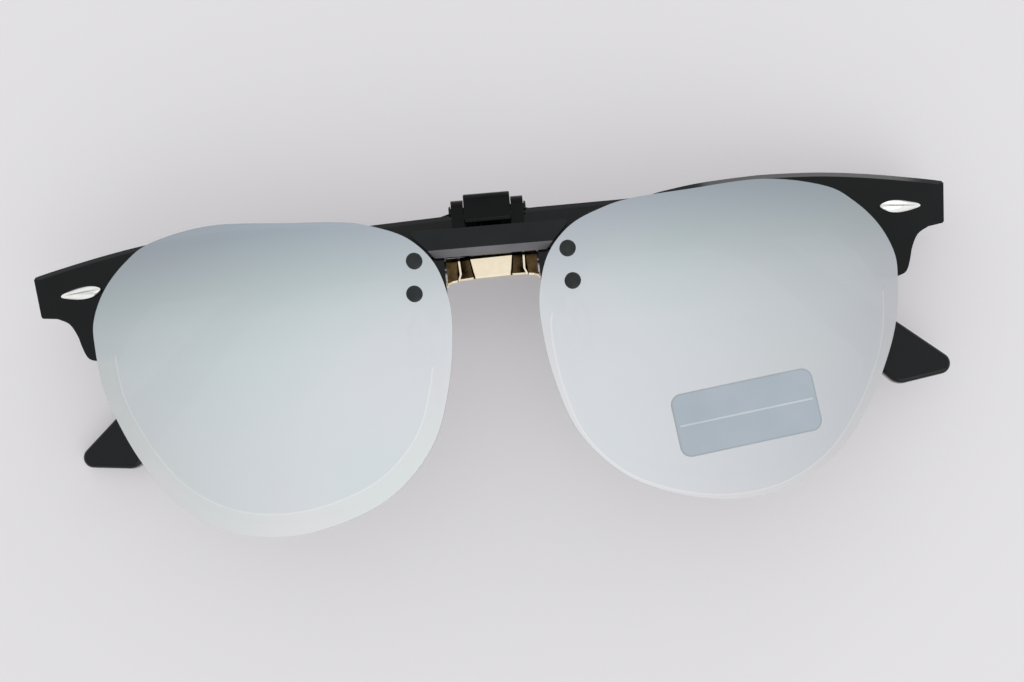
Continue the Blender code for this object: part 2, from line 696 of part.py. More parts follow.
def arm_outline():
    """Arm seen from its side: u runs back from the hinge axis and v up from its middle."""
    butt = END_BLOCK_DEPTH + ARM_BUTT_GAP - HINGE_DEPTH
    drop = math.radians(ARM_DROP_DEG)
    along = Vector((math.cos(drop), -math.sin(drop)))
    upward = Vector((math.sin(drop), math.cos(drop)))
    bend_shift = math.tan(drop / 2) / 2
    waist = ARM_WAIST_HEIGHT
    upper_bend = (ARM_BEND_START + waist * bend_shift, waist / 2)
    lower_bend = (ARM_BEND_START - waist * bend_shift, -waist / 2)
    tip_middle = Vector((ARM_BEND_START, 0)) + along * ARM_DROP_LENGTH
    tip_upper = tip_middle + upward * ARM_TIP_WIDTH / 2
    cut = math.radians(ARM_END_CUT_DEG)
    cut_way = Vector((-math.cos(cut), -math.sin(cut)))
    cut_length = ARM_TIP_WIDTH / -cut_way.dot(upward)
    tip_lower = tip_upper + cut_way * cut_length
    return fillet((
        (butt, ARM_BUTT_HEIGHT / 2, 0), (*upper_bend, ARM_BEND_OUTER_RADIUS),
        (*tip_upper, ARM_TIP_RADIUS), (*tip_lower, ARM_HEEL_RADIUS),
        (*lower_bend, ARM_BEND_INNER_RADIUS), (butt, -ARM_BUTT_HEIGHT / 2, 0)))


def make_arm(side, name, hinge, material):
    """Arm drawn open, running back from its hinge axis; its outer face is flat."""
    outline = arm_outline()
    start = min(u for u, v in outline)
    length = max(u for u, v in outline) - start
    bm = prism([(-u, v) for u, v in outline], 0.0, ARM_BUTT_THICKNESS, axes="zyx")
    for vert in bm.verts:
        run = (-vert.co.z - start) / length
        thickness = ARM_BUTT_THICKNESS + (ARM_TIP_THICKNESS - ARM_BUTT_THICKNESS) * run
        inner = vert.co.x == 0
        vert.co.x = side * (ARM_OUTER_OFFSET - (thickness if inner else 0))
    arm = make_object(name, bm, material, hinge)
    add_bevel(arm, ARM_EDGE_RADIUS, segments=3)
    return arm


def make_arm_leaf(side, name, hinge, material):
    """Leaf on the arm's inner face, with the middle knuckle."""
    inner = ARM_OUTER_OFFSET - ARM_BUTT_THICKNESS - SEAT_GAP
    outer = inner - ARM_LEAF_THICKNESS
    half = ARM_LEAF_HEIGHT / 2
    end = ARM_LEAF_START + ARM_LEAF_LENGTH
    slope = (ARM_BUTT_THICKNESS - ARM_TIP_THICKNESS) / (ARM_BEND_START + ARM_DROP_LENGTH)
    rise = slope * end
    plate = [(-ARM_LEAF_START, side * outer), (-end, side * outer),
             (-end, side * (inner + rise)), (-ARM_LEAF_START, side * inner)]
    leaf = make_object(name, prism(plate, -half, half, axes="zxy"), material, hinge)
    low, high = (edge - HINGE_Y for edge in knuckle_span(1))
    barrel = prism(circle(0, 0, KNUCKLE_RADIUS), low, high, axes="zxy")
    add_boolean(leaf, make_object("barrel_tool", barrel, material, hinge), "UNION")
    neck_end = -(ARM_LEAF_START + LEAF_THICKNESS)
    neck = [(0, side * outer), (neck_end, side * outer), (neck_end, side * inner), (0, side * inner)]
    neck_bm = prism(neck, low, high, axes="zxy")
    add_boolean(leaf, make_object("neck_tool", neck_bm, material, hinge), "UNION")
    add_boolean(leaf, bore_tool((0, 0), low, high, hinge, material), "DIFFERENCE")
    return leaf


# Nose pads

def make_pad_mount(side, name, parent):
    """An empty on the pad's screw, with its Z away from the nose."""
    turn = Matrix.Rotation(side * math.radians(PAD_TURN_DEG), 4, "Y")
    splay = Matrix.Rotation(-side * math.radians(PAD_SPLAY_DEG), 4, "Z")
    empty = make_empty(name, parent, (side * PAD_X, PAD_Y, -PAD_DEPTH))
    empty.rotation_euler = (splay @ turn).to_euler()
    return empty


def make_nose_pad(name, mount, material):
    """Soft oval pad, domed towards the nose and flat behind."""
    bm = bmesh.new()
    rings = []
    for reach, height in PAD_RING_SHARES:
        rings.append([bm.verts.new((x * PAD_WIDTH / 2, y * PAD_LENGTH / 2, height * PAD_THICKNESS))
                      for x, y in circle(0, 0, reach, PAD_SIDES)])
    for upper, lower in zip(rings, rings[1:]):
        for index in range(PAD_SIDES):
            following = (index + 1) % PAD_SIDES
            bm.faces.new((upper[index], upper[following], lower[following], lower[index]))
    bm.faces.new(rings[0])
    bm.faces.new(rings[-1])
    pad = make_object(name, bm, material, mount, smooth_deg=60)
    floor = PAD_THICKNESS / 2 - PAD_SCREW_BITE - RUNNING_GAP
    hole = prism(circle(0, 0, PAD_SCREW_RADIUS + RUNNING_GAP), floor, PAD_THICKNESS / 2 + CUT_OVERRUN)
    add_boolean(pad, make_object("pad_hole_tool", hole, material, mount), "DIFFERENCE")
    return pad


def make_pad_screw(name, mount, material):
    tip = PAD_THICKNESS / 2 - PAD_SCREW_BITE
    seat = PAD_THICKNESS / 2 + SEAT_GAP + PAD_CUP_HEIGHT + RUNNING_GAP
    profile = ((0, tip), (PAD_SCREW_RADIUS, tip), (PAD_SCREW_RADIUS, seat),
               (PAD_SCREW_HEAD_RADIUS, seat), (PAD_SCREW_HEAD_RADIUS, seat + PAD_SCREW_HEAD_HEIGHT / 2),
               (PAD_SCREW_HEAD_RADIUS / 2, seat + PAD_SCREW_HEAD_HEIGHT), (0, seat + PAD_SCREW_HEAD_HEIGHT))
    return make_object(name, turned(profile, PAD_SCREW_SIDES), material, mount)


def make_pad_arm(side, name, parent, mount, material):
    """Wire loop from behind the bridge to a cup on the pad's back."""
    local = mount.matrix_basis
    low = PAD_THICKNESS / 2 + SEAT_GAP
    cup = shifted(prism(circle(0, 0, PAD_CUP_RADIUS), low, low + PAD_CUP_HEIGHT), local)
    arm = make_object(name, cup, material, parent)
    middle = low + PAD_CUP_HEIGHT / 2
    inside = local @ Vector((0, PAD_CUP_RADIUS / 2 + PAD_SCREW_RADIUS, middle))
    rim = local @ Vector((0, PAD_CUP_RADIUS, middle))
    bridge_back = -(BRIDGE_FRONT_DEPTH + BRIDGE_THICKNESS + BRIDGE_END_SETBACK + SEAT_GAP)
    root = Vector((side * PAD_WIRE_ROOT_X, 0, bridge_back))
    reach = rim - root
    loop = [root + Vector((reach.x * x, reach.y * y, reach.z * z)) for x, y, z in PAD_WIRE_SHARES]
    path = spline([tuple(spot) for spot in (root, *loop, inside)], 4)
    wire = make_object("pad_wire_tool", tube(path, PAD_WIRE_RADIUS, PAD_WIRE_SIDES), material, parent)
    add_boolean(arm, wire, "UNION")
    hole = prism(circle(0, 0, PAD_SCREW_RADIUS + RUNNING_GAP), low - CUT_OVERRUN, low + CUT_OVERRUN)
    add_boolean(arm, make_object("pad_cup_tool", shifted(hole, local), material, parent), "DIFFERENCE")
    return arm


# Clip-on

def rivet_spots(side):
    lower_x = RIVET_X + RIVET_LOWER_SPREAD
    return [(side * RIVET_X, RIVET_UPPER_Y), (side * lower_x, RIVET_LOWER_Y)]


def cut_rivet_holes(obj, side, parent, material):
    for spot in rivet_spots(side):
        outline = circle(*spot, RIVET_SHANK_RADIUS + RUNNING_GAP)
        hole = prism(outline, CLIP_TAB_BACK - CUT_OVERRUN, CLIP_LENS_BACK + CUT_OVERRUN)
        add_boolean(obj, make_object("rivet_hole_tool", hole, material, parent), "DIFFERENCE")


def make_clip_lens(side, name, parent, material):
    outline = lens_outline(CLIP_LENS_WIDTH, CLIP_LENS_HEIGHT, LENS_CENTRE_X, CLIP_LENS_CENTRE_Y)
    front = CLIP_LENS_BACK + CLIP_LENS_THICKNESS
    lens = make_object(name, bend(prism(mirrored(outline, side), CLIP_LENS_BACK, front)), material, parent)
    add_bevel(lens, CLIP_LENS_EDGE_RADIUS, segments=1)
    cut_rivet_holes(lens, side, parent, material)
    return lens


def make_clip_bar(parent, material):
    profile = ((CLIP_BAR_BOTTOM_Y, CLIP_BAR_BACK), (CLIP_BAR_BOTTOM_Y, CLIP_BAR_LIP_FRONT),
               (CLIP_BAR_KNEE_Y, CLIP_BAR_FRONT), (CLIP_BAR_TOP_Y, CLIP_BAR_FRONT),
               (CLIP_BAR_TOP_Y, CLIP_BAR_BACK))
    bm = prism(profile, -1, 1, axes="yzx")
    rise = CLIP_BAR_TOP_Y - CLIP_BAR_BOTTOM_Y
    flare = CLIP_BAR_TOP_HALF - CLIP_BAR_BOTTOM_HALF
    for vert in bm.verts:
        vert.co.x *= CLIP_BAR_BOTTOM_HALF + flare * (vert.co.y - CLIP_BAR_BOTTOM_Y) / rise
    bar = make_object("clip_bar", bend(bm), material, parent)
    for side in (1, -1):
        tab_in = RIVET_X - CLIP_TAB_HALF_WIDTH
        tab_out = RIVET_X + RIVET_LOWER_SPREAD + CLIP_TAB_HALF_WIDTH
        low = RIVET_LOWER_Y - CLIP_TAB_HALF_WIDTH
        corner = CLIP_TAB_CORNER_RADIUS
        tab = fillet(((CLIP_TAB_ROOT_X, CLIP_TAB_TOP_Y, 0), (tab_out, CLIP_TAB_TOP_Y, corner),
                      (tab_out, low, corner), (tab_in, low, corner),
                      (tab_in, CLIP_BAR_BOTTOM_Y + SEAT_GAP, 0),
                      (CLIP_TAB_ROOT_X, CLIP_BAR_BOTTOM_Y + SEAT_GAP, 0)))
        tab_bm = bend(prism(mirrored(tab, side), CLIP_TAB_BACK, CLIP_TAB_BACK + CLIP_TAB_THICKNESS))
        add_boolean(bar, make_object("tab_tool", tab_bm, material, parent), "UNION")
        root_y = CLIP_BAR_KNEE_Y + CLIP_BAR_LIP_FRONT
        ear = fillet(((root_y, CLIP_BAR_BACK + SEAT_GAP, 0), (root_y, EAR_FRONT_Z - SEAT_GAP, 0),
                      (EAR_TOP_Y, EAR_FRONT_Z - SEAT_GAP, EAR_RADIUS),
                      (EAR_TOP_Y, CLIP_BAR_BACK + SEAT_GAP, EAR_RADIUS)))
        ear_bm = prism(ear, *sorted((side * EAR_INNER_X, side * EAR_OUTER_X)), axes="yzx")
        add_boolean(bar, make_object("ear_tool", ear_bm, material, parent), "UNION")
    for side in (1, -1):
        cut_rivet_holes(bar, side, parent, material)
    pin_hole = prism(circle(JAW_PIN_Y, JAW_PIN_Z, JAW_PIN_RADIUS + RUNNING_GAP),
                     -EAR_OUTER_X - CUT_OVERRUN, EAR_OUTER_X + CUT_OVERRUN, axes="yzx")
    add_boolean(bar, make_object("pin_hole_tool", pin_hole, material, parent), "DIFFERENCE")
    return bar


def make_rivet(spot, name, parent, material):
    front = CLIP_LENS_BACK + CLIP_LENS_THICKNESS + SEAT_GAP
    back = CLIP_TAB_BACK - SEAT_GAP
    profile = ((0, back - RIVET_TAIL_HEIGHT), (RIVET_TAIL_RADIUS, back - RIVET_TAIL_HEIGHT),
               (RIVET_TAIL_RADIUS, back), (RIVET_SHANK_RADIUS, back), (RIVET_SHANK_RADIUS, front),
               (RIVET_HEAD_RADIUS, front), (RIVET_HEAD_RADIUS, front + RIVET_HEAD_HEIGHT / 2),
               (RIVET_CROWN_RADIUS, front + RIVET_HEAD_HEIGHT), (0, front + RIVET_HEAD_HEIGHT))
    place = Matrix.Translation((*spot, sag(spot[0])))
    return make_object(name, shifted(turned(profile), place), material, parent)


def jaw_yoke_front():
    """z of the front face of the yoke, behind the rubber pads and the brow."""
    return -(BROW_THICKNESS + CLAW_BITE_GAP + CLAW_PAD_THICKNESS + SEAT_GAP)


def make_clip_jaw(jaw_axis, material):
    """Lever over the brow and a yoke with two claws behind it, drawn about the pin."""
    to_pin = Matrix.Translation((0, -JAW_PIN_Y, -JAW_PIN_Z))
    yoke_front = jaw_yoke_front()
    yoke_back = yoke_front - JAW_YOKE_THICKNESS
    lever = fillet(((JAW_LEVER_BOTTOM_Y, JAW_FRONT_Z, JAW_YOKE_THICKNESS / 2),
                    (JAW_TOP_Y - SEAT_GAP, JAW_FRONT_Z, JAW_YOKE_THICKNESS),
                    (JAW_TOP_Y, yoke_back, JAW_YOKE_THICKNESS / 2),
                    (JAW_BRIDGE_BOTTOM_Y, yoke_back, 0),
                    (JAW_BRIDGE_BOTTOM_Y, JAW_LEVER_BACK_Z - JAW_PIN_RADIUS, 0),
                    (JAW_LEVER_BOTTOM_Y, JAW_LEVER_BACK_Z, 0)))
    lever_bm = shifted(prism(lever, -JAW_HALF_WIDTH, JAW_HALF_WIDTH, axes="yzx"), to_pin)
    jaw = make_object("clip_jaw", lever_bm, material, jaw_axis)
    half = [(JAW_HALF_WIDTH - SEAT_GAP, JAW_TOP_Y - SEAT_GAP - JAW_YOKE_THICKNESS / 2, 0),
            (CLAW_OUTER_X, JAW_YOKE_SHOULDER_Y, CLAW_CORNER_RADIUS),
            (CLAW_OUTER_X, CLAW_BOTTOM_Y, CLAW_CORNER_RADIUS),
            (CLAW_INNER_X, CLAW_BOTTOM_Y, CLAW_CORNER_RADIUS),
            (CLAW_INNER_X, JAW_YOKE_BOTTOM_Y, CLAW_CORNER_RADIUS)]
    yoke = fillet(half + [(-x, y, radius) for x, y, radius in reversed(half)])
    yoke_bm = shifted(prism(yoke, yoke_back, yoke_front), to_pin)
    add_boolean(jaw, make_object("yoke_tool", yoke_bm, material, jaw_axis), "UNION")
    bore = prism(circle(0, 0, JAW_PIN_RADIUS + RUNNING_GAP), -JAW_HALF_WIDTH - CUT_OVERRUN,
                 JAW_HALF_WIDTH + CUT_OVERRUN, axes="yzx")
    add_boolean(jaw, make_object("jaw_bore_tool", bore, material, jaw_axis), "DIFFERENCE")
    pocket = [(JAW_LEVER_BOTTOM_Y - CUT_OVERRUN, POCKET_FRONT_Z), (POCKET_TOP_Y, POCKET_FRONT_Z),
              (POCKET_TOP_Y, -JAW_PIN_Z), (JAW_LEVER_BOTTOM_Y - CUT_OVERRUN, -JAW_PIN_Z)]
    pocket_bm = shifted(prism(pocket, -POCKET_HALF_WIDTH, POCKET_HALF_WIDTH, axes="yzx"), to_pin)
    add_boolean(jaw, make_object("pocket_tool", pocket_bm, material, jaw_axis), "DIFFERENCE")
    return jaw


def make_claw_pad(side, name, jaw_axis, material):
    """Rubber pad on the front of a claw, facing the back of the brow."""
    low_x = CLAW_INNER_X + CLAW_PAD_MARGIN
    high_x = CLAW_OUTER_X - CLAW_PAD_MARGIN
    low_y = CLAW_BOTTOM_Y + CLAW_PAD_MARGIN
    high_y = low_y + CLAW_PAD_HEIGHT
    corner = CLAW_CORNER_RADIUS
    outline = fillet(((low_x, low_y, corner), (high_x, low_y, corner),
                      (high_x, high_y, corner), (low_x, high_y, corner)))
    back = jaw_yoke_front() + SEAT_GAP
    bm = prism(mirrored(outline, side), back, back + CLAW_PAD_THICKNESS)
    return make_object(name, shifted(bm, Matrix.Translation((0, -JAW_PIN_Y, -JAW_PIN_Z))), material, jaw_axis)


def make_jaw_pin(parent, material):
    end = EAR_OUTER_X + RUNNING_GAP
    head = end + JAW_PIN_HEAD_HEIGHT
    profile = ((0, -head), (JAW_PIN_HEAD_RADIUS, -head), (JAW_PIN_HEAD_RADIUS, -end),
               (JAW_PIN_RADIUS, -end), (JAW_PIN_RADIUS, end), (JAW_PIN_HEAD_RADIUS, end),
               (JAW_PIN_HEAD_RADIUS, head), (0, head))
    seat = Matrix.Translation((0, JAW_PIN_Y, JAW_PIN_Z)) @ Matrix.Rotation(math.pi / 2, 4, "Y")
    return make_object("jaw_pin", shifted(turned(profile), seat), material, parent)


def make_jaw_spring(parent, material):
    """Torsion spring round the pin. One leg lies on the clip bar, the other under the lever."""
    steps = SPRING_TURNS * SPRING_STEPS_PER_TURN
    length = SPRING_TURNS * SPRING_PITCH
    start_x = -length / 2

    def on_coil(step):
        angle = 2 * math.pi * step / SPRING_STEPS_PER_TURN
        return Vector((start_x + SPRING_PITCH * step / SPRING_STEPS_PER_TURN,
                       JAW_PIN_Y + SPRING_COIL_RADIUS * math.sin(angle),
                       JAW_PIN_Z - SPRING_COIL_RADIUS * math.cos(angle)))

    coil = [on_coil(step) for step in range(steps + 1)]
    lower = coil[0] - Vector((0, JAW_PIN_Y - CLIP_BAR_TOP_Y - SEAT_GAP, 0))
    upper = coil[-1] + Vector((0, POCKET_TOP_Y - JAW_PIN_Y - SEAT_GAP, 0))
    path = [lower] + coil + [upper]
    least = min((first - second).length for index, first in enumerate(path)
                for second in path[index + SPRING_STEPS_PER_TURN // 2:])
    print("least gap between the spring's turns:", least - 2 * SPRING_WIRE_RADIUS)
    return make_object("jaw_spring", tube(path, SPRING_WIRE_RADIUS, SPRING_SIDES), material, parent)


# Standing the finished pieces on the table

def rest_on_table(carrier):
    """Move the whole object so that its box stands on z = 0, centred on x = y = 0."""
    bpy.context.view_layer.update()
    graph = bpy.context.evaluated_depsgraph_get()
    spots = []
    for obj in bpy.data.objects:
        if obj.type == "MESH" and not obj.hide_render:
            seen = obj.evaluated_get(graph)
            spots += [seen.matrix_world @ vert.co for vert in seen.data.vertices]
    low = [min(spot[axis] for spot in spots) for axis in range(3)]
    high = [max(spot[axis] for spot in spots) for axis in range(3)]
    carrier.location = (-(low[0] + high[0]) / 2, -(low[1] + high[1]) / 2, -low[2])
    bpy.context.view_layer.update()


def main():
    clear_scene()
    black = make_material("black_acetate", (0.012, 0.013, 0.014), 0.16)
    clear = make_material("clear_lens", (0.93, 0.95, 0.93), 0.03, transmission=1.0)
    nylon = make_material("nylon", (0.75, 0.75, 0.72), 0.4, transmission=0.5)
    gold = make_material("gold_metal", (0.86, 0.66, 0.38), 0.18, metallic=1.0)
    silver = make_material("silver_metal", (0.82, 0.82, 0.80), 0.2, metallic=1.0)
    steel = make_material("steel", (0.45, 0.45, 0.46), 0.3, metallic=1.0)
    silicone = make_material("clear_silicone", (0.85, 0.86, 0.84), 0.35, transmission=0.7)
    mirror = make_material("mirror_lens", (0.62, 0.68, 0.70), 0.08, metallic=0.9)
    clip_black = make_material("clip_plastic", (0.018, 0.024, 0.026), 0.35)
    rubber = make_material("rubber", (0.02, 0.02, 0.02), 0.7)

    stack = math.radians(FOLD_STACK_DEG)
    carrier = make_empty("glasses_carrier", turn=(0, stack, 0))
    clip = make_empty("clip_carrier", carrier, turn=(0, 0, math.radians(CLIP_ROLL_DEG)))
    jaw_axis = make_empty("jaw_axis", clip, (0, JAW_PIN_Y, JAW_PIN_Z))

    make_brow_bar(carrier, black)
    make_bridge(carrier, gold)
    for side, label in ((1, "left"), (-1, "right")):
        make_frame_lens(side, "frame_lens_" + label, carrier, clear)
        make_rim_cord(side, "rim_cord_" + label, carrier, nylon)
        make_stud(side, "stud_" + label, carrier, silver)
        make_front_leaf(side, "front_hinge_leaf_" + label, carrier, steel)
        make_hinge_screw(side, "hinge_screw_" + label, carrier, steel)
        fold = side * (math.pi / 2 - side * stack)
        hinge = make_empty("arm_axis_" + label, carrier, (side * HINGE_X, HINGE_Y, -HINGE_DEPTH), (0, fold, 0))
        make_arm(side, "temple_" + label, hinge, black)
        make_arm_leaf(side, "temple_hinge_leaf_" + label, hinge, steel)
        mount = make_pad_mount(side, "pad_axis_" + label, carrier)
        make_nose_pad("nose_pad_" + label, mount, silicone)
        make_pad_screw("pad_screw_" + label, mount, steel)
        make_pad_arm(side, "pad_arm_" + label, carrier, mount, gold)
        make_clip_lens(side, "clip_lens_" + label, clip, mirror)
        for spot, place in zip(rivet_spots(side), ("upper", "lower")):
            make_rivet(spot, "rivet_" + place + "_" + label, clip, clip_black)
        make_claw_pad(side, "claw_pad_" + label, jaw_axis, rubber)
    make_clip_bar(clip, clip_black)
    make_clip_jaw(jaw_axis, clip_black)
    make_jaw_pin(clip, steel)
    make_jaw_spring(clip, steel)
    rest_on_table(carrier)


main()
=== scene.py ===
# Looks of the folded browline glasses with their clip-on mirror sun lenses.
# Every shape is drawn in the glasses' own frame, in metres: x to the wearer's left,
# y up the face and z out of the front. PLACE turns that frame into the row frame.

import json
import math

import bmesh
import bpy
from mathutils import Matrix, Vector


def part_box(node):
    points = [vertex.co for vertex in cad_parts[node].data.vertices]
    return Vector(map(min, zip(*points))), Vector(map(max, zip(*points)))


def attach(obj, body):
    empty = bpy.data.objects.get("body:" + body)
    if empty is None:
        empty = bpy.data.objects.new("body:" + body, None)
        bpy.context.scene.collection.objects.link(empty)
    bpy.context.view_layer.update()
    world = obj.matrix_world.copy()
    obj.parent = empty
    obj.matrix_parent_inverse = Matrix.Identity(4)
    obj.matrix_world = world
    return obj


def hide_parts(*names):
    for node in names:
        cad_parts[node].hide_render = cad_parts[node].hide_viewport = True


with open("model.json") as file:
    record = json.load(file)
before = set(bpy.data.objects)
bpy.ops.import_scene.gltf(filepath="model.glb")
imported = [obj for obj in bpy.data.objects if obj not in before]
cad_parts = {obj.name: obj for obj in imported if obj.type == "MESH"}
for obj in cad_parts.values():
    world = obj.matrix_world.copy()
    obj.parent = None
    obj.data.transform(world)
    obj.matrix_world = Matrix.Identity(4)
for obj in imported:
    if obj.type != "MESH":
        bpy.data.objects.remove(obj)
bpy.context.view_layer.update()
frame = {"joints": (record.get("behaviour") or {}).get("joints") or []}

# Fits
SEAT_GAP = 0.00025
RUNNING_GAP = 0.0001
CUT_OVERRUN = 0.002

# Front
LENS_WIDTH = 0.0512
LENS_HEIGHT = 0.0394
HALF_BRIDGE = 0.009
HALF_FRONT = HALF_BRIDGE + LENS_WIDTH + 0.012
FRONT_CURVE_RADIUS = 0.3
STRIP_WIDTH = 0.0012
BROW_HEIGHT = 0.01015
BROW_THICKNESS = 0.0042
BROW_EDGE_RADIUS = 0.0007
BROW_CHAMFER = 0.0007
BROW_CHAMFER_SLOPE = 0.65
BROW_WAIST_BOTTOM = 0.0023
BROW_TAIL_TIP = (HALF_BRIDGE + 0.0002, -0.008)
BROW_TAIL_KNEE_Y = -0.0045
BROW_TAIL_KNEE_RADIUS = 0.002
BROW_WAIST_RADIUS = 0.0008
BROW_END_RUN = 0.0011
BROW_END_RADII = (0.0004, 0.0005)
BROW_TOP_SHARES = (
    (0.0, 0.822), (0.084, 0.833), (0.216, 0.826), (0.328, 0.828), (0.377, 0.885), (0.457, 0.958),
    (0.554, 0.995), (0.615, 1.0), (0.726, 0.966), (0.835, 0.881), (0.947, 0.759), (1.0, 0.69),
)
BROW_END_TOP_Y = BROW_TOP_SHARES[-1][1] * BROW_HEIGHT
BROW_END_SHARES = (
    (0.989, 0.034), (0.953, -0.005), (0.927, -0.108), (0.911, -0.296), (0.903, -0.473),
    (0.895, -0.62), (0.885, -0.7), (0.863, -0.749),
)
END_INSET = 0.0005
END_BOTTOM_Y = 0.0021
END_LEAN = 0.0008
END_LEAN_SPAN = (0.062, 0.066)
END_INNER_X = HALF_FRONT - 0.011
END_DEPTH = HALF_FRONT ** 2 / (2 * FRONT_CURVE_RADIUS) + 0.0045
END_BITE = 0.0036
END_CORNER_RADIUS = 0.0008
END_EDGE_RADIUS = 0.0004
LENS_SHAPE_SHARES = (
    (0.96, 0.052), (0.99, 0.29), (0.988, 0.472), (0.914, 0.664), (0.785, 0.825), (0.625, 0.934),
    (0.287, 1.0), (-0.15, 0.965), (-0.454, 0.934), (-0.624, 0.885), (-0.792, 0.797),
    (-0.918, 0.645), (-0.981, 0.455), (-1.0, 0.23), (-0.957, -0.14), (-0.847, -0.503),
    (-0.623, -0.787), (-0.327, -0.944), (-0.012, -1.0), (0.301, -0.937), (0.57, -0.747),
    (0.763, -0.463), (0.89, -0.18),
)
LENS_CENTRE_X = HALF_BRIDGE + LENS_WIDTH / 2
LENS_CENTRE_Y = 0.0043 - LENS_HEIGHT / 2
LENS_FRONT_DEPTH = 0.0012
LENS_THICKNESS = 0.0018
LENS_BACK_DEPTH = LENS_FRONT_DEPTH + LENS_THICKNESS
LENS_EDGE_RADIUS = 0.00015
LENS_GRIP = 0.001
RIM_CORD_RADIUS = 0.00025

# Bridge and studs
BRIDGE_HALF_SPAN = HALF_BRIDGE - 0.002
BRIDGE_TOP_Y = 0.002
BRIDGE_BOTTOM_Y = -0.0016
BRIDGE_FRONT_DEPTH = 0.0003
BRIDGE_THICKNESS = 0.0024
BRIDGE_REAR_ROOM = 0.0006
BRIDGE_LEDGE = 0.0006
BRIDGE_LEDGE_LEAN = 0.00012
BRIDGE_LOWER_BEVEL = 0.00025
BRIDGE_KINK = 0.00022
BRIDGE_KNEE_MIX = (0.35, 0.65)
BRIDGE_KNEE_DROP = 0.0002
BRIDGE_RIB_DEPTH = 0.00088
BRIDGE_RIB_STATION = 3
# From the middle out: x at the top, x at the bottom, depth of the face, drop of the lower edge
BRIDGE_STATIONS = (
    (0.0032, 0.0027, 0.0, 0.0), (0.0034, 0.003, 0.00045, 0.0), (0.0047, 0.0049, 0.00115, 0.0),
    (0.00485, 0.00505, BRIDGE_RIB_DEPTH, 0.00003), (0.00515, 0.00535, BRIDGE_RIB_DEPTH, 0.00007),
    (0.0053, 0.0055, 0.00115, 0.0001), (0.0062, 0.0063, 0.00125, 0.0002),
    (0.007, 0.007, 0.0009, 0.0005),
)
STUD_CENTRE_X = HALF_FRONT - 0.0077
STUD_CENTRE_Y = 0.00345
STUD_LENGTH = 0.0066
STUD_HEIGHT = 0.002
STUD_UPPER_SHARES = (
    (-1.0, 0.0), (-0.92, 0.17), (-0.7, 0.34), (-0.38, 0.45), (0.0, 0.46), (0.4, 0.38),
    (0.78, 0.24), (0.95, 0.12), (1.0, 0.0),
)
STUD_LOWER_SHARES = (
    (-1.0, 0.0), (-0.92, -0.18), (-0.66, -0.39), (-0.36, -0.5), (0.0, -0.5), (0.4, -0.39),
    (0.78, -0.21), (0.95, -0.09), (1.0, 0.0),
)
STUD_TURN = math.radians(-2.7)
STUD_WALL = 0.00022
STUD_END_LIFT = 0.25
STUD_RIDGE_SHORTER = 0.16
# Share of the half height, and rise over the seat
STUD_ROWS = ((1.0, 0.0), (1.0, STUD_WALL), (0.9, 0.00036), (0.62, 0.00062), (0.3, 0.00082),
             (0.08, 0.00092))

# Hinges and arms
HINGE_X = HALF_FRONT - 0.0057
HINGE_Y = 0.0046
HINGE_DEPTH = END_DEPTH + 0.0017
HINGE_HEIGHT = 0.0051
KNUCKLE_RADIUS = 0.0013
KNUCKLE_HEIGHT = 0.0016
PIN_RADIUS = 0.00055
LEAF_THICKNESS = 0.0009
LEAF_REACH = 0.0026
METAL_EDGE_RADIUS = 0.00012
BARREL_EDGE_RADIUS = 0.0001
# Screw heads: radius, and height over the seat
SCREW_HEAD = ((0.0011, 0.0), (0.0011, 0.0003), (0.00102, 0.0005), (0.0008, 0.0006), (0, 0.0006))
SLOT_FLOOR = 0.0003
SLOT_REACH = 0.0031
SLOT_HALF_WIDTH = 0.0002
ARM_BUTT_GAP = 0.0003
ARM_OUTER_OFFSET = 0.0055
ARM_BUTT_THICKNESS = 0.004
ARM_TIP_THICKNESS = 0.003
ARM_LEAF_HEIGHT = 0.0046
ARM_LEAF_THICKNESS = 0.0008
ARM_LEAF_START = 0.002
ARM_LEAF_END = ARM_LEAF_START + 0.0075
ARM_BUTT_HEIGHT = 0.0054
ARM_WAIST_HEIGHT = 0.0044
ARM_TIP_WIDTH = 0.0087
ARM_BEND_START = 2 * HINGE_X - 0.0286
ARM_DROP_DEG = 43.7
ARM_DROP_LENGTH = 0.0439
ARM_END_CUT_DEG = 7.6
ARM_EDGE_RADIUS = 0.0007
ARM_BEND_RADII = (0.034, 0.026)
ARM_TIP_RADII = (0.0017, 0.0026)

# Nose pads
PAD_LENGTH = 0.0135
PAD_WIDTH = 0.007
PAD_THICKNESS = 0.0027
PAD_SPOT = (HALF_BRIDGE + 0.003, -0.013, -0.0088)
PAD_TURN_DEG = 50.0
PAD_SPLAY_DEG = 9.0
PAD_RING_SHARES = ((0.5, -0.5), (0.86, -0.32), (1.0, 0.02), (0.88, 0.36), (0.56, 0.5))
PAD_SIDES = 56
PAD_EDGE_RADIUS = 0.0003
PAD_CUP_RADIUS = 0.0016
PAD_CUP_HEIGHT = 0.0008
PAD_SCREW_RADIUS = 0.0004
PAD_SCREW_HEAD = ((0.0008, 0.0), (0.0008, 0.00018), (0.00068, 0.00032), (0.0004, 0.0004),
                  (0, 0.0004))
PAD_SCREW_TIP_GAP = 0.00002
PAD_WIRE_ROOT_INSET = 0.0034
PAD_WIRE_ROOT_ROOM = 0.0009
PAD_WIRE_RADIUS = 0.00039
PAD_WIRE_SHARES = ((0.05, 0.03, 0.6), (0.3, 0.16, 1.15), (0.72, 0.36, 1.15), (1.02, 0.68, 0.95))

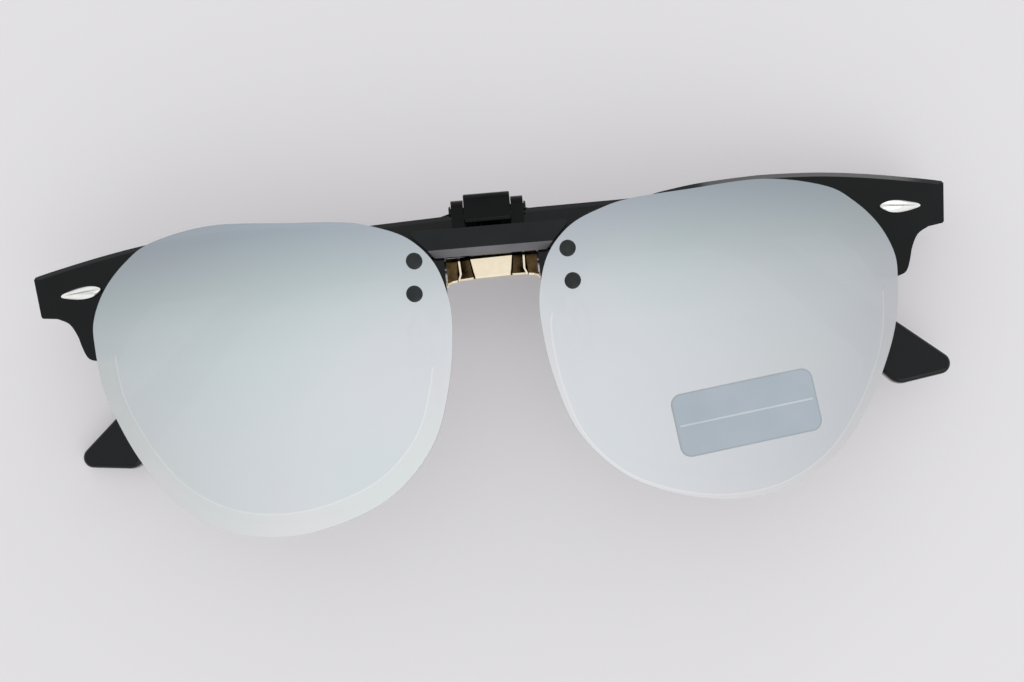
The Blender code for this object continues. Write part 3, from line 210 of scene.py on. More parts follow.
# Clip-on
CLIP_ROLL_DEG = -1.25
CLIP_LENS_WIDTH = LENS_WIDTH + 0.0046
CLIP_LENS_HEIGHT = LENS_HEIGHT + 0.009
CLIP_LENS_CENTRE_Y = 0.0099 - CLIP_LENS_HEIGHT / 2
CLIP_LENS_BACK = 0.0021
CLIP_LENS_THICKNESS = 0.001
CLIP_LENS_FRONT = CLIP_LENS_BACK + CLIP_LENS_THICKNESS
CLIP_LENS_EDGE_RADIUS = 0.00016
BAR_BACK = 0.0004
BAR_FRONT = 0.0032
BAR_TOP_Y = 0.0059
BAR_KNEE_Y = 0.0027
BAR_BOTTOM_Y = 0.0017
BAR_LIP_FRONT = 0.0014
BAR_TOP_HALF = HALF_BRIDGE + 0.0036
BAR_BOTTOM_HALF = HALF_BRIDGE - 0.0004
BAR_CORNER_RADIUS = 0.0014
BAR_EDGE_RADIUS = 0.00022
CLIP_EDGE_RADIUS = 0.00018
TAB_BACK = 0.0009
TAB_THICKNESS = 0.001
TAB_HALF_WIDTH = 0.0019
TAB_CORNER_RADIUS = 0.0017
TAB_ROOT_X = HALF_BRIDGE - 0.001
TAB_TOP_Y = 0.0054
RIVET_X = HALF_BRIDGE + 0.0027
RIVET_LOWER_X = RIVET_X + 0.00035
RIVET_UPPER_Y = 0.0014
RIVET_LOWER_Y = -0.0036
RIVET_HEAD_RADIUS = 0.00124
RIVET_HEAD_HEIGHT = 0.0005
RIVET_RIM_HEIGHT = 0.00016
RIVET_RIM_BEVEL = 0.00004
RIVET_CROWN = (0.0004, 0.0002)
RIVET_TOP = ((0.0006, -0.00007), (0.0003, -0.00003), (0, -0.00002))
# Foot behind the tab: radius, and height over the tab's back
RIVET_FOOT = ((0, -0.00035), (0.0009, -0.00035), (0.001, -0.00025), (0.001, 0.0))
RIVET_SHANK_RADIUS = 0.00055
JAW_PIN_Y = 0.0086
JAW_PIN_Z = 0.00175
JAW_PIN_RADIUS = 0.0005
JAW_PIN_HEAD = ((0.0008, 0.0), (0.0008, 0.00018), (0.00065, 0.0003), (0, 0.0003))
EAR_INNER_X = 0.00364
EAR_OUTER_X = 0.0055
EAR_TOP_Y = 0.0102
EAR_FRONT_Z = 0.0032
EAR_RADIUS = 0.0013
JAW_HALF_WIDTH = 0.00354
JAW_TOP_Y = 0.0112
JAW_FRONT_Z = 0.0036
LEVER_BOTTOM_Y = 0.0064
LEVER_BACK_Z = 0.0011
LEVER_RADII = (0.0009, 0.0012, 0.0006)
JAW_BRIDGE_BOTTOM_Y = 0.009
YOKE_THICKNESS = 0.0012
YOKE_NECK_DROP = 0.0006
YOKE_SHOULDER_Y = 0.0082
YOKE_BOTTOM_Y = 0.0048
CLAW_OUTER_X = HALF_BRIDGE + 0.0018
CLAW_INNER_X = CLAW_OUTER_X - 0.0032
CLAW_BOTTOM_Y = 0.0009
CLAW_CORNER_RADIUS = 0.0012
CLAW_PAD_THICKNESS = 0.0011
CLAW_PAD_HEIGHT = 0.0044
CLAW_PAD_INSET = 0.0002
CLAW_PAD_EDGE_RADIUS = 0.0002
CLAW_BITE_GAP = 0.0003
YOKE_FRONT_Z = -(BROW_THICKNESS + CLAW_BITE_GAP + CLAW_PAD_THICKNESS + SEAT_GAP)
POCKET_HALF_WIDTH = 0.0018
POCKET_TOP_Y = 0.01
POCKET_FRONT_Z = 0.0031
SPRING_TURNS = 3
SPRING_STEPS = 28
SPRING_PITCH = 0.00078
SPRING_RADIUS = 0.00095
SPRING_WIRE_RADIUS = 0.00016

# The frame lens's edge as it shows through the sun lens, painted into its mirror coat: a painted
# highlight line along the edge, and a paler painted band outside it where more light comes through.
# Side: width, height, centre, and how high the line climbs on the nose side.
SEAMS = {
    1: (0.0516, 0.0419, (0.034, -0.01685), -0.0085),
    -1: (0.0494, 0.0392, (0.0345, -0.0155), -0.015),
}
SEAM_HALF_LINE = 0.00014
SEAM_TOP_Y = -0.0085

# Blank label on the left sun lens
LABEL_CENTRE = (0.03665, -0.02566)
LABEL_SIZE = (0.0222, 0.0097)
LABEL_TURN_DEG = 7.4
LABEL_CORNER_RADIUS = 0.0017
LABEL_RIM = 0.00022
LABEL_THICKNESS = 0.00008
LABEL_LIFT = 0.00003
LABEL_LINE_HALF_HEIGHT = 0.00014

# Stage
FLOOR_HALF_WIDTH = 3.0
FLOOR_DROP = 0.0001
# Lamps: name, place, size and power
LAMPS = (
    ("window", (0.39, 0.855, 0.15), 0.42, 1.5),
    ("fill", (0.3, -0.55, 0.75), 0.68, 1.2),
)

# Camera
PHOTO_WIDTH = 1024
SENSOR_WIDTH = 36.0
FOCAL_PIXELS = 2000
CAMERA_SPOT = (0.00189, -0.03886, 0.30406)
CAMERA_BACK = (0.0002, -0.0887, 0.9961)
CAMERA_UP = (0.1061, 0.9904, 0.0882)

# Colours and gloss
WANDER_STOPS = (0.32, 0.68)
WANDER_DETAIL = (3.0, 0.55)
LENS_IOR = 1.5
MIRROR_METALLIC = 0.95
MIRROR_ROUGHNESS = (0.035, 0.075)
MIRROR_GLOSS_SCALE = 60
FILM_SCALE = 26
FILM_TINTS = ((0.3, (0.95, 1.0, 0.985)), (0.5, (1.0, 1.0, 1.0)), (0.7, (1.0, 0.975, 1.0)))

SIDES = ((1, "left"), (-1, "right"))


def find_place():
    """The matrix from the glasses' own frame to the row frame, read from the two arm hinges."""
    spots = {joint["name"]: Vector(joint["pos_m"]) for joint in frame["joints"] if "pos_m" in joint}
    left, right = spots["temple_left_fold"], spots["temple_right_fold"]
    lean = math.asin((right.z - left.z) / (left - right).length)
    to_hinge = Matrix.Translation((0, -HINGE_Y, HINGE_DEPTH))
    return Matrix.Translation((left + right) / 2) @ Matrix.Rotation(lean, 4, "Y") @ to_hinge


PLACE = find_place()
CLIP_PLACE = PLACE @ Matrix.Rotation(math.radians(CLIP_ROLL_DEG), 4, "Z")
LEAN = math.asin(-PLACE[2][0])


# Outlines

def fillet(corners, turn_deg=6, arc_length=0.0008):
    """Turn (x, y, radius) corners into a closed outline whose corners are arcs."""
    outline = []
    for index, (x, y, radius) in enumerate(corners):
        if not radius:
            outline.append((x, y))
            continue
        here = Vector((x, y))
        before = Vector(corners[index - 1][:2]) - here
        after = Vector(corners[(index + 1) % len(corners)][:2]) - here
        half_angle = before.angle(after) / 2
        middle = (before.normalized() + after.normalized()).normalized()
        centre = here + middle * radius / math.sin(half_angle)
        start = here + before.normalized() * radius / math.tan(half_angle) - centre
        turn = math.pi - 2 * half_angle
        side = 1 if before.x * after.y - before.y * after.x < 0 else -1
        steps = max(3, round(turn / math.radians(turn_deg)), round(turn * radius / arc_length))
        for step in range(steps + 1):
            spoke = start.copy()
            spoke.rotate(Matrix.Rotation(side * turn * step / steps, 2))
            outline.append(tuple(centre + spoke))
    return outline


def spline(points, steps, closed=False):
    """Catmull-Rom curve through the points."""
    count = len(points)

    def near(index):
        return Vector(points[index % count if closed else min(max(index, 0), count - 1)])

    curve = []
    for place in range(count if closed else count - 1):
        a, b, c, d = (near(place + offset) for offset in (-1, 0, 1, 2))
        for step in range(steps):
            t = step / steps
            curve.append(0.5 * (2 * b + (c - a) * t + (2 * a - 5 * b + 4 * c - d) * t ** 2
                                + (3 * b - a - 3 * c + d) * t ** 3))
    if not closed:
        curve.append(Vector(points[-1]))
    return [tuple(point) for point in curve]


def lens_outline(width, height, centre_y, grow=0.0, centre_x=LENS_CENTRE_X):
    """The lens shape at this size, grown all round."""
    points = [(centre_x + across * (width / 2 + grow), centre_y + up * (height / 2 + grow))
              for across, up in LENS_SHAPE_SHARES]
    return spline(points, 9, closed=True)


def frame_lens_outline(grow=0.0):
    return lens_outline(LENS_WIDTH, LENS_HEIGHT, LENS_CENTRE_Y, grow)


def inside(outline, x, y):
    """Whether the spot lies within the closed outline."""
    within = False
    for (ax, ay), (bx, by) in zip(outline, outline[1:] + outline[:1]):
        if (ay > y) != (by > y) and x < ax + (y - ay) * (bx - ax) / (by - ay):
            within = not within
    return within


def mirrored(outline, side):
    return [(side * x, y) for x, y in outline]


def rectangle(x, y, far_x, far_y):
    return [(x, y), (far_x, y), (far_x, far_y), (x, far_y)]


def round_corners(corners, radius):
    return fillet([(x, y, radius) for x, y in corners])


def circle(centre_x, centre_y, radius, steps=40):
    return [(centre_x + radius * math.cos(2 * math.pi * step / steps),
             centre_y + radius * math.sin(2 * math.pi * step / steps)) for step in range(steps)]


# Solids

def skin(bm, rings, capped=False):
    """Join each ring of vertices to the next. A ring of one vertex is a tip."""
    count = max(len(ring) for ring in rings)
    for first, second in zip(rings, rings[1:]):
        for index in range(count):
            following = (index + 1) % count
            loop = (first[index % len(first)], first[following % len(first)],
                    second[following % len(second)], second[index % len(second)])
            bm.faces.new(list(dict.fromkeys(loop)))
    if capped:
        bm.faces.new(rings[0])
        bm.faces.new(rings[-1])
    return bm


def prism(outline, low, high, axes="xyz", bm=None):
    """Extrude an outline. The third axis named is the one it is extruded along."""
    bm = bm or bmesh.new()
    order = [axes.index(letter) for letter in "xyz"]
    rings = [[bm.verts.new([(x, y, along)[place] for place in order]) for x, y in outline]
             for along in (low, high)]
    bm.faces.new(rings[0])
    bm.faces.new(rings[1])
    skin(bm, rings)
    bmesh.ops.recalc_face_normals(bm, faces=bm.faces)
    return bm


def banded_plate(loops, low, high):
    """A plate whose front face is split along loops, so that its bands can take different
    materials: the label's rim and field, and the sun lens's painted band and painted highlight
    line.
    """
    bm = bmesh.new()
    rings = [[bm.verts.new((x, y, height)) for x, y in loop]
             for loop, height in [(loops[0], low)] + [(loop, high) for loop in loops]]
    bm.faces.new(rings[0])
    bm.faces.new(rings[-1])
    return skin(bm, rings)


def raised(profile, height):
    return [(radius, height + rise) for radius, rise in profile]


def turned(profile, steps=40):
    """Turn (radius, height) points, the first and last on the axis, about Z."""
    bm = bmesh.new()
    return skin(bm, [[bm.verts.new((x, y, height))
                      for x, y in (circle(0, 0, radius, steps) if radius else [(0, 0)])]
                     for radius, height in profile])


def tube(path, radius, sides=16):
    """A round wire through the path's points, with rounded ends."""
    bm = bmesh.new()
    points = [Vector(point) for point in path]
    normal = (points[1] - points[0]).orthogonal()
    rings = []
    for index, point in enumerate(points):
        ahead = points[min(index + 1, len(points) - 1)]
        behind = points[max(index - 1, 0)]
        along = (ahead - behind).normalized()
        normal = (normal - along * normal.dot(along)).normalized()
        across = along.cross(normal)
        rings.append([bm.verts.new(point + radius * (normal * x + across * y))
                      for x, y in circle(0, 0, 1, sides)])
    return skin(bm, rings, capped=True)


def sag(x):
    return -x * x / (2 * FRONT_CURVE_RADIUS)


def bend(bm):
    """Cut the flat piece into strips and bend it back along the front's curve."""
    strips = math.ceil(max(abs(vert.co.x) for vert in bm.verts) / STRIP_WIDTH)
    for strip in range(-strips, strips + 1):
        bmesh.ops.bisect_plane(
            bm, geom=bm.verts[:] + bm.edges[:] + bm.faces[:], dist=STRIP_WIDTH * 1e-5,
            plane_co=(strip * STRIP_WIDTH, 0, 0), plane_no=(1, 0, 0))
    for vert in bm.verts:
        vert.co.z += sag(vert.co.x)
    return bm


def shifted(bm, matrix):
    bmesh.ops.transform(bm, matrix=matrix, verts=bm.verts)
    return bm


def add_object(name, data):
    obj = bpy.data.objects.new(name, data)
    bpy.context.scene.collection.objects.link(obj)
    return obj


def mesh_object(bm, name):
    mesh = bpy.data.meshes.new(name)
    bm.to_mesh(mesh)
    bm.free()
    return add_object(name, mesh)


def draft(bm):
    """A loose object made of the mesh, faces out."""
    bmesh.ops.recalc_face_normals(bm, faces=bm.faces)
    if bm.calc_volume(signed=True) < 0:
        bmesh.ops.reverse_faces(bm, faces=bm.faces)
    return mesh_object(bm, "draft")


def settle(obj):
    """Apply the object's modifiers."""
    graph = bpy.context.evaluated_depsgraph_get()
    graph.update()
    mesh = bpy.data.meshes.new_from_object(obj.evaluated_get(graph))
    obj.modifiers.clear()
    old = obj.data
    obj.data = mesh
    bpy.data.meshes.remove(old)
    return obj


def rounded(obj, width, segments=3, angle_deg=40):
    bevel = obj.modifiers.new("rounded", "BEVEL")
    bevel.width = width
    bevel.segments = segments
    bevel.limit_method = "ANGLE"
    bevel.angle_limit = math.radians(angle_deg)
    return settle(obj)


def slab(outline, low, high, edge_radius, segments=2, axes="xyz"):
    """An extruded outline with its edges rounded."""
    return rounded(draft(prism(outline, low, high, axes)), edge_radius, segments)


def combined(obj, tool, operation):
    boolean = obj.modifiers.new("combined", "BOOLEAN")
    boolean.operation = operation
    boolean.solver = "EXACT"
    boolean.object = tool
    settle(obj)
    bpy.data.objects.remove(tool)
    return obj


def joined(obj, tool):
    return combined(obj, tool, "UNION")


def cut(obj, tool):
    return combined(obj, tool, "DIFFERENCE")


def finish_piece(obj, name, materials, matrix, body, nodes, sharp_deg=32, pick=None):
    """Name the piece, give it its materials and clean normals, and stand it in for its nodes."""
    mesh = obj.data
    obj.name = mesh.name = name
    indices = [pick(face) if pick else face.material_index for face in mesh.polygons]
    mesh.materials.clear()
    for material in materials:
        mesh.materials.append(material)
    if len(materials) > 1:
        for face, index in zip(mesh.polygons, indices):
            face.material_index = index
    mesh.transform(matrix)
    mesh.shade_smooth()
    mesh.set_sharp_from_angle(angle=math.radians(sharp_deg))
    obj.modifiers.new("weighted normals", "WEIGHTED_NORMAL").keep_sharp = True
    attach(obj, body)
    if nodes:
        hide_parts(*nodes)


# Materials

def set_inputs(node, values):
    for name, value in values.items():
        node.inputs[name].default_value = value
    return node


def new_material(name, values):
    """A material whose shader has these values."""
    material = bpy.data.materials.new(name)
    material.use_nodes = True
    tree = material.node_tree
    return material, tree, set_inputs(tree.nodes["Principled BSDF"], values)


def linked_noise(tree, scale, detail=2.0, roughness=0.5):
    """Noise laid over the object in its own metres."""
    spots = tree.nodes.new("ShaderNodeTexCoord")
    noise = set_inputs(tree.nodes.new("ShaderNodeTexNoise"),
                       {"Scale": scale, "Detail": detail, "Roughness": roughness})
    tree.links.new(spots.outputs["Object"], noise.inputs["Vector"])
    return noise.outputs["Fac"]


def ramp(tree, source, stops):
    """A colour ramp with (position, colour) stops."""
    node = tree.nodes.new("ShaderNodeValToRGB")
    elements = node.color_ramp.elements
    while len(elements) < len(stops):
        elements.new(0.5)
    for element, (position, colour) in zip(elements, stops):
        element.position = position
        element.color = (*colour, 1.0)
    tree.links.new(source, node.inputs["Fac"])
    return node.outputs["Color"]


def span(tree, source, low, high, from_low=0.3, from_high=0.7):
    """The source, spread from one range to another."""
    node = set_inputs(tree.nodes.new("ShaderNodeMapRange"), {
        "From Min": from_low, "From Max": from_high, "To Min": low, "To Max": high})
    tree.links.new(source, node.inputs["Value"])
    return node.outputs["Result"]


def plain(name, dark, light, rough, scale, metallic=0.0, level=0.5, bump=None):
    """A moulded or metal finish: colour and gloss wander between two values over the surface.

    bump is the scale, strength and depth of a grain.
    """
    material, tree, shader = new_material(name, {"Metallic": metallic, "Specular IOR Level": level})
    wander = linked_noise(tree, scale, *WANDER_DETAIL)
    colour = ramp(tree, wander, tuple(zip(WANDER_STOPS, (dark, light))))
    tree.links.new(colour, shader.inputs["Base Color"])
    tree.links.new(span(tree, wander, *rough), shader.inputs["Roughness"])
    if bump:
        grain = linked_noise(tree, bump[0])
        node = set_inputs(tree.nodes.new("ShaderNodeBump"),
                          {"Strength": bump[1], "Distance": bump[2]})
        tree.links.new(grain, node.inputs["Height"])
        tree.links.new(node.outputs["Normal"], shader.inputs["Normal"])
    return material


def glassy(name, colour, rough, ior, weight, scale):
    """See-through plastic with a faint cloud in its gloss."""
    material, tree, shader = new_material(
        name, {"Base Color": (*colour, 1.0), "IOR": ior, "Transmission Weight": weight})
    tree.links.new(span(tree, linked_noise(tree, scale), *rough), shader.inputs["Roughness"])
    return material


def mirror_finish(name, painted_reflection_stops):
    """Silver mirror coat with faint thin-film tints, and painted reflection: its colour runs darker
    towards the brow.
    """
    material, tree, shader = new_material(
        name, {"Metallic": MIRROR_METALLIC, "Transmission Weight": 1.0, "IOR": LENS_IOR})
    spots = tree.nodes.new("ShaderNodeTexCoord")
    parts = tree.nodes.new("ShaderNodeSeparateXYZ")
    tree.links.new(spots.outputs["Object"], parts.inputs["Vector"])
    low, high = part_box("clip_lens_left")
    fade = ramp(tree, span(tree, parts.outputs["Y"], 0.0, 1.0, low.y, high.y), painted_reflection_stops)
    film = ramp(tree, linked_noise(tree, FILM_SCALE, 1.0), FILM_TINTS)
    tint = tree.nodes.new("ShaderNodeMix")
    tint.data_type = "RGBA"
    tint.blend_type = "MULTIPLY"
    tint.inputs["Factor"].default_value = 1.0
    tree.links.new(fade, tint.inputs["A"])
    tree.links.new(film, tint.inputs["B"])
    tree.links.new(tint.outputs["Result"], shader.inputs["Base Color"])
    gloss = span(tree, linked_noise(tree, MIRROR_GLOSS_SCALE), *MIRROR_ROUGHNESS)
    tree.links.new(gloss, shader.inputs["Roughness"])
    return material


BLACK = plain(
    "black_acetate", (0.0035, 0.0046, 0.0046), (0.006, 0.0073, 0.0073), (0.07, 0.14), 90,
    level=0.26, bump=(900, 0.04, 0.00002))
CLIP_BLACK = plain(
    "clip_plastic", (0.004, 0.0062, 0.0068), (0.007, 0.0098, 0.0104), (0.2, 0.3), 220,
    level=0.26, bump=(5200, 0.1, 0.00002))
# A darker, glossier black than the clip bar, for the jaw lever and the ears.
LEVER_BLACK = plain(
    "glossy_clip_plastic", (0.0015, 0.0018, 0.002), (0.0028, 0.0032, 0.0034), (0.06, 0.12), 220,
    level=0.14, bump=(2600, 0.03, 0.00001))
# Painted sheen: the pale grey of the lip's lower bevel stands in for the bright light it reflects.
LIP_PAINTED_SHEEN = plain(
    "satin_lip_painted_sheen", (0.15, 0.146, 0.155), (0.185, 0.182, 0.192), (0.34, 0.46), 220, level=0.3,
    bump=(5200, 0.1, 0.00002))
RIVET_GREY = plain(
    "rivet_plastic", (0.016, 0.019, 0.019), (0.024, 0.028, 0.028), (0.28, 0.4), 500, level=0.26,
    bump=(6000, 0.12, 0.00002))
RUBBER = plain(
    "rubber", (0.01, 0.01, 0.01), (0.018, 0.018, 0.018), (0.62, 0.8), 800,
    bump=(7000, 0.25, 0.00003))
GOLD = plain(
    "gold_metal", (0.95, 0.83, 0.62), (1.0, 0.89, 0.68), (0.1, 0.17), 700, metallic=1.0,
    bump=(5000, 0.04, 0.00001))
# Painted shade: a dark brown gold for the bridge's hollowed side facets, standing in for the dark
# reflection they show.
GOLD_PAINTED_SHADE = plain(
    "gold_with_painted_shade", (0.062, 0.04, 0.016), (0.14, 0.092, 0.042), (0.16, 0.3), 900,
    metallic=1.0, bump=(3800, 0.15, 0.00002))
SILVER = plain(
    "silver_metal", (0.86, 0.86, 0.83), (0.93, 0.93, 0.9), (0.12, 0.22), 900, metallic=1.0,
    bump=(5200, 0.05, 0.00001))
STEEL = plain(
    "steel", (0.5, 0.5, 0.5), (0.62, 0.62, 0.61), (0.2, 0.34), 1200, metallic=1.0,
    bump=(6000, 0.1, 0.00001))
BLACK_STEEL = plain(
    "blackened_steel", (0.018, 0.018, 0.019), (0.034, 0.034, 0.035), (0.3, 0.42), 1200,
    metallic=1.0, bump=(6000, 0.1, 0.00001))
# Painted reflection: the mirror's colour darkens towards the brow.
MIRROR = mirror_finish("mirror_lens_front", (
    (0.0, (0.8, 0.83, 0.85)), (0.45, (0.79, 0.822, 0.842)), (0.6, (0.765, 0.8, 0.825)),
    (0.72, (0.705, 0.75, 0.77)), (0.85, (0.58, 0.635, 0.655)), (0.99, (0.45, 0.495, 0.545))))
# Painted light: a paler band outside the frame lens's edge, fading into the mirror towards the top.
LENS_PAINTED_BAND = mirror_finish("mirror_lens_painted_band", (
    (0.0, (0.865, 0.872, 0.868)), (0.22, (0.85, 0.86, 0.857)), (0.42, (0.812, 0.828, 0.832)),
    (0.6, (0.765, 0.785, 0.795))))
# Painted highlight: the line where the frame lens's edge shows through the sun lens.
SEAM_PAINTED_HIGHLIGHT = mirror_finish("lens_edge_painted_highlight", (
    (0.0, (0.895, 0.902, 0.892)), (0.22, (0.885, 0.894, 0.888)), (0.42, (0.87, 0.882, 0.88)),
    (0.6, (0.835, 0.85, 0.855))))
LENS_EDGE = glassy("mirror_lens_edge", (0.62, 0.68, 0.66), (0.1, 0.2), 1.5, 0.85, 300)
LENS_BACK = glassy("mirror_lens_back", (0.42, 0.45, 0.47), (0.02, 0.05), 1.5, 1.0, 80)
CLEAR = glassy("clear_lens", (0.96, 0.985, 0.97), (0.0, 0.02), 1.5, 1.0, 60)
NYLON = glassy("nylon", (0.9, 0.9, 0.86), (0.2, 0.35), 1.53, 0.45, 2000)
SILICONE = glassy("clear_silicone", (0.93, 0.94, 0.92), (0.22, 0.36), 1.41, 0.75, 600)
LABEL_FILM, LABEL_EDGE, LABEL_LINE = (
    plain(name, dark, light, (0.28, 0.36), 150, level=0.3) for name, dark, light in (
        ("label_film", (0.41, 0.47, 0.52), (0.445, 0.495, 0.55)),
        ("label_rim", (0.36, 0.4, 0.42), (0.395, 0.43, 0.455)),
        ("label_line", (0.56, 0.605, 0.65), (0.61, 0.66, 0.7))))


# Front of the glasses

def brow_half_outline():
    top = spline([(x * HALF_FRONT, y * BROW_HEIGHT) for x, y in BROW_TOP_SHARES], 8)
    end = [(x * HALF_FRONT, y * BROW_HEIGHT) for x, y in BROW_END_SHARES]
    near_corner = next(point for point in reversed(top) if top[-1][0] - point[0] > BROW_END_RUN)
    top = [point for point in top if point[0] < near_corner[0]]
    rounded_end = fillet((
        (*near_corner, 0), (HALF_FRONT, BROW_END_TOP_Y, BROW_END_RADII[0]),
        (*end[0], BROW_END_RADII[1]), (*end[1], 0)), turn_deg=9)
    over = [(x, y) for x, y in frame_lens_outline(-LENS_GRIP)
            if y > (end[-1][1] if x > LENS_CENTRE_X else BROW_TAIL_TIP[1])]
    inner_wall = BRIDGE_HALF_SPAN + SEAT_GAP
    middle = fillet((
        (*BROW_TAIL_TIP, 0), (inner_wall, BROW_TAIL_KNEE_Y, BROW_TAIL_KNEE_RADIUS),
        (inner_wall, BROW_WAIST_BOTTOM, BROW_WAIST_RADIUS), (0, BROW_WAIST_BOTTOM, 0)))
    return top + rounded_end + spline(end[1:], 6)[1:] + over + middle


def make_brow():
    half = brow_half_outline()
    bm = prism(half + [(-x, y) for x, y in reversed(half) if x > 1e-6], -BROW_THICKNESS, 0.0)
    top_edge = [edge for edge in bm.edges
                if all(vert.co.z > -SEAT_GAP and vert.co.y > BROW_END_TOP_Y - SEAT_GAP
                       for vert in edge.verts)]
    bmesh.ops.bevel(bm, geom=top_edge, offset=BROW_CHAMFER, segments=1, affect="EDGES")
    for vert in bm.verts:
        if -2 * BROW_CHAMFER < vert.co.z < -BROW_CHAMFER / 2:
            vert.co.z = -BROW_CHAMFER * BROW_CHAMFER_SLOPE
        if vert.co.z < -BROW_THICKNESS / 2 and vert.co.y < END_BOTTOM_Y:
            near, far = END_LEAN_SPAN
            share = (abs(vert.co.x) - near) / (far - near)
            vert.co.y += END_LEAN * min(max(share, 0.0), 1.0)
    brow = rounded(draft(bend(bm)), BROW_EDGE_RADIUS, 5, angle_deg=62)
    outer = HALF_FRONT - END_INSET
    block = round_corners((
        (END_INNER_X, END_BOTTOM_Y), (outer, END_BOTTOM_Y),
        (outer, BROW_END_TOP_Y - END_INSET),
        (END_INNER_X, BROW_TOP_SHARES[-3][1] * BROW_HEIGHT - END_INSET)),
        END_CORNER_RADIUS)
    for side, _ in SIDES:
        joined(brow, slab(mirrored(block, side), -END_DEPTH, END_BITE - END_DEPTH,
                          END_EDGE_RADIUS, 3))
    for side, _ in SIDES:
        cut(brow, draft(bend(prism(mirrored(frame_lens_outline(SEAT_GAP), side),
                                   -(LENS_BACK_DEPTH + SEAT_GAP), SEAT_GAP - LENS_FRONT_DEPTH))))
    finish_piece(brow, "brow_shell", [BLACK], PLACE, "front", ["brow_bar"], 30)


def make_lens(side, label):
    plate = bend(prism(mirrored(frame_lens_outline(), side), -LENS_BACK_DEPTH, -LENS_FRONT_DEPTH))
    finish_piece(rounded(draft(plate), LENS_EDGE_RADIUS, 2), "clear_lens_" + label, [CLEAR], PLACE,
                 "front", ["frame_lens_" + label])


def make_cord(side, label):
    ring = frame_lens_outline(RIM_CORD_RADIUS + SEAT_GAP)
    outer_stop = BROW_END_SHARES[-1][1] * BROW_HEIGHT - SEAT_GAP
    inner_stop = BROW_TAIL_TIP[1] - SEAT_GAP
    quarter = len(ring) // 4
    middle = -(LENS_FRONT_DEPTH + LENS_THICKNESS / 2)
    path = [(side * x, y, middle + sag(x)) for x, y in ring[quarter:] + ring[:quarter]
            if y < (outer_stop if x > LENS_CENTRE_X else inner_stop)]
    finish_piece(draft(tube(path, RIM_CORD_RADIUS, 10)), "lens_cord_" + label, [NYLON], PLACE,
                 "front", ["rim_cord_" + label], 60)


def make_bridge():
    """Faceted bridge: a flat middle facet, hollowed sides with a bright rib, flared lower ends."""
    rear = -BRIDGE_FRONT_DEPTH - BRIDGE_THICKNESS - BRIDGE_REAR_ROOM
    bm = bmesh.new()
    sections = []
    for side in (-1, 1):
        for top_x, bottom_x, depth, drop in BRIDGE_STATIONS[::side]:
            face = -BRIDGE_FRONT_DEPTH - depth
            bottom = BRIDGE_BOTTOM_Y - drop
            knee_x = top_x * BRIDGE_KNEE_MIX[0] + bottom_x * BRIDGE_KNEE_MIX[1]
            kink = BRIDGE_KINK if depth == BRIDGE_RIB_DEPTH else 0.0
            spots = (
                (side * top_x, BRIDGE_TOP_Y, face - BRIDGE_LEDGE_LEAN),
                (side * top_x, BRIDGE_TOP_Y - BRIDGE_LEDGE, face),
                (side * knee_x - side * kink,
                 (BRIDGE_TOP_Y + 2 * bottom) / 3 - BRIDGE_KNEE_DROP, face),
                (side * bottom_x, bottom + BRIDGE_LOWER_BEVEL, face),
                (side * bottom_x, bottom, face - BRIDGE_LOWER_BEVEL),
                (side * bottom_x, bottom, rear), (side * top_x, BRIDGE_TOP_Y, rear))
            sections.append([bm.verts.new(spot) for spot in spots])
    count = len(BRIDGE_STATIONS)
    for place, pair in enumerate(zip(sections, sections[1:])):
        # The front facets of the hollowed sides get the painted shade; the middle facet, the rib
        # and the other faces stay plain gold.
        station = place - count if place >= count else count - 2 - place
        bright = place == count - 1 or station == BRIDGE_RIB_STATION
        skin(bm, pair)
        for index, face in enumerate(list(bm.faces)[-len(pair[0]):]):
            face.material_index = 0 if bright or index > 2 else 1
    bm.faces.new(sections[0])
    bm.faces.new(sections[-1])
    finish_piece(draft(bm), "faceted_bridge", [GOLD, GOLD_PAINTED_SHADE], PLACE, "front", ["bridge"],
                 6)


def make_stud(side, label):
    """Almond stud, fuller towards the lens, with a fine ridge along its middle."""
    half_length = STUD_LENGTH / 2
    upper, under = (spline([(x * half_length, y * STUD_HEIGHT) for x, y in shares], 4)
                    for shares in (STUD_UPPER_SHARES, STUD_LOWER_SHARES))
    bm = bmesh.new()
    rows = []
    for share, rise in STUD_ROWS:
        along = 1 - (1 - share) * STUD_RIDGE_SHORTER
        row = []
        for x, y in upper + under[-2:0:-1]:
            fullness = STUD_END_LIFT + (1 - STUD_END_LIFT) * (1 - (x / half_length) ** 2)
            lift = min(rise, STUD_WALL) + max(rise - STUD_WALL, 0.0) * fullness
            row.append(bm.verts.new((x * along, y * share, SEAT_GAP + lift)))
        rows.append(row)
    skin(bm, rows, capped=True)
    bmesh.ops.rotate(bm, verts=bm.verts, matrix=Matrix.Rotation(STUD_TURN, 3, "Z"))
    for vert in bm.verts:
        vert.co.x = side * (vert.co.x + STUD_CENTRE_X)
        vert.co.y += STUD_CENTRE_Y
        vert.co.z += sag(vert.co.x)
    finish_piece(draft(bm), "almond_stud_" + label, [SILVER], PLACE, "front", ["stud_" + label],
                 28)


# Hinges and arms

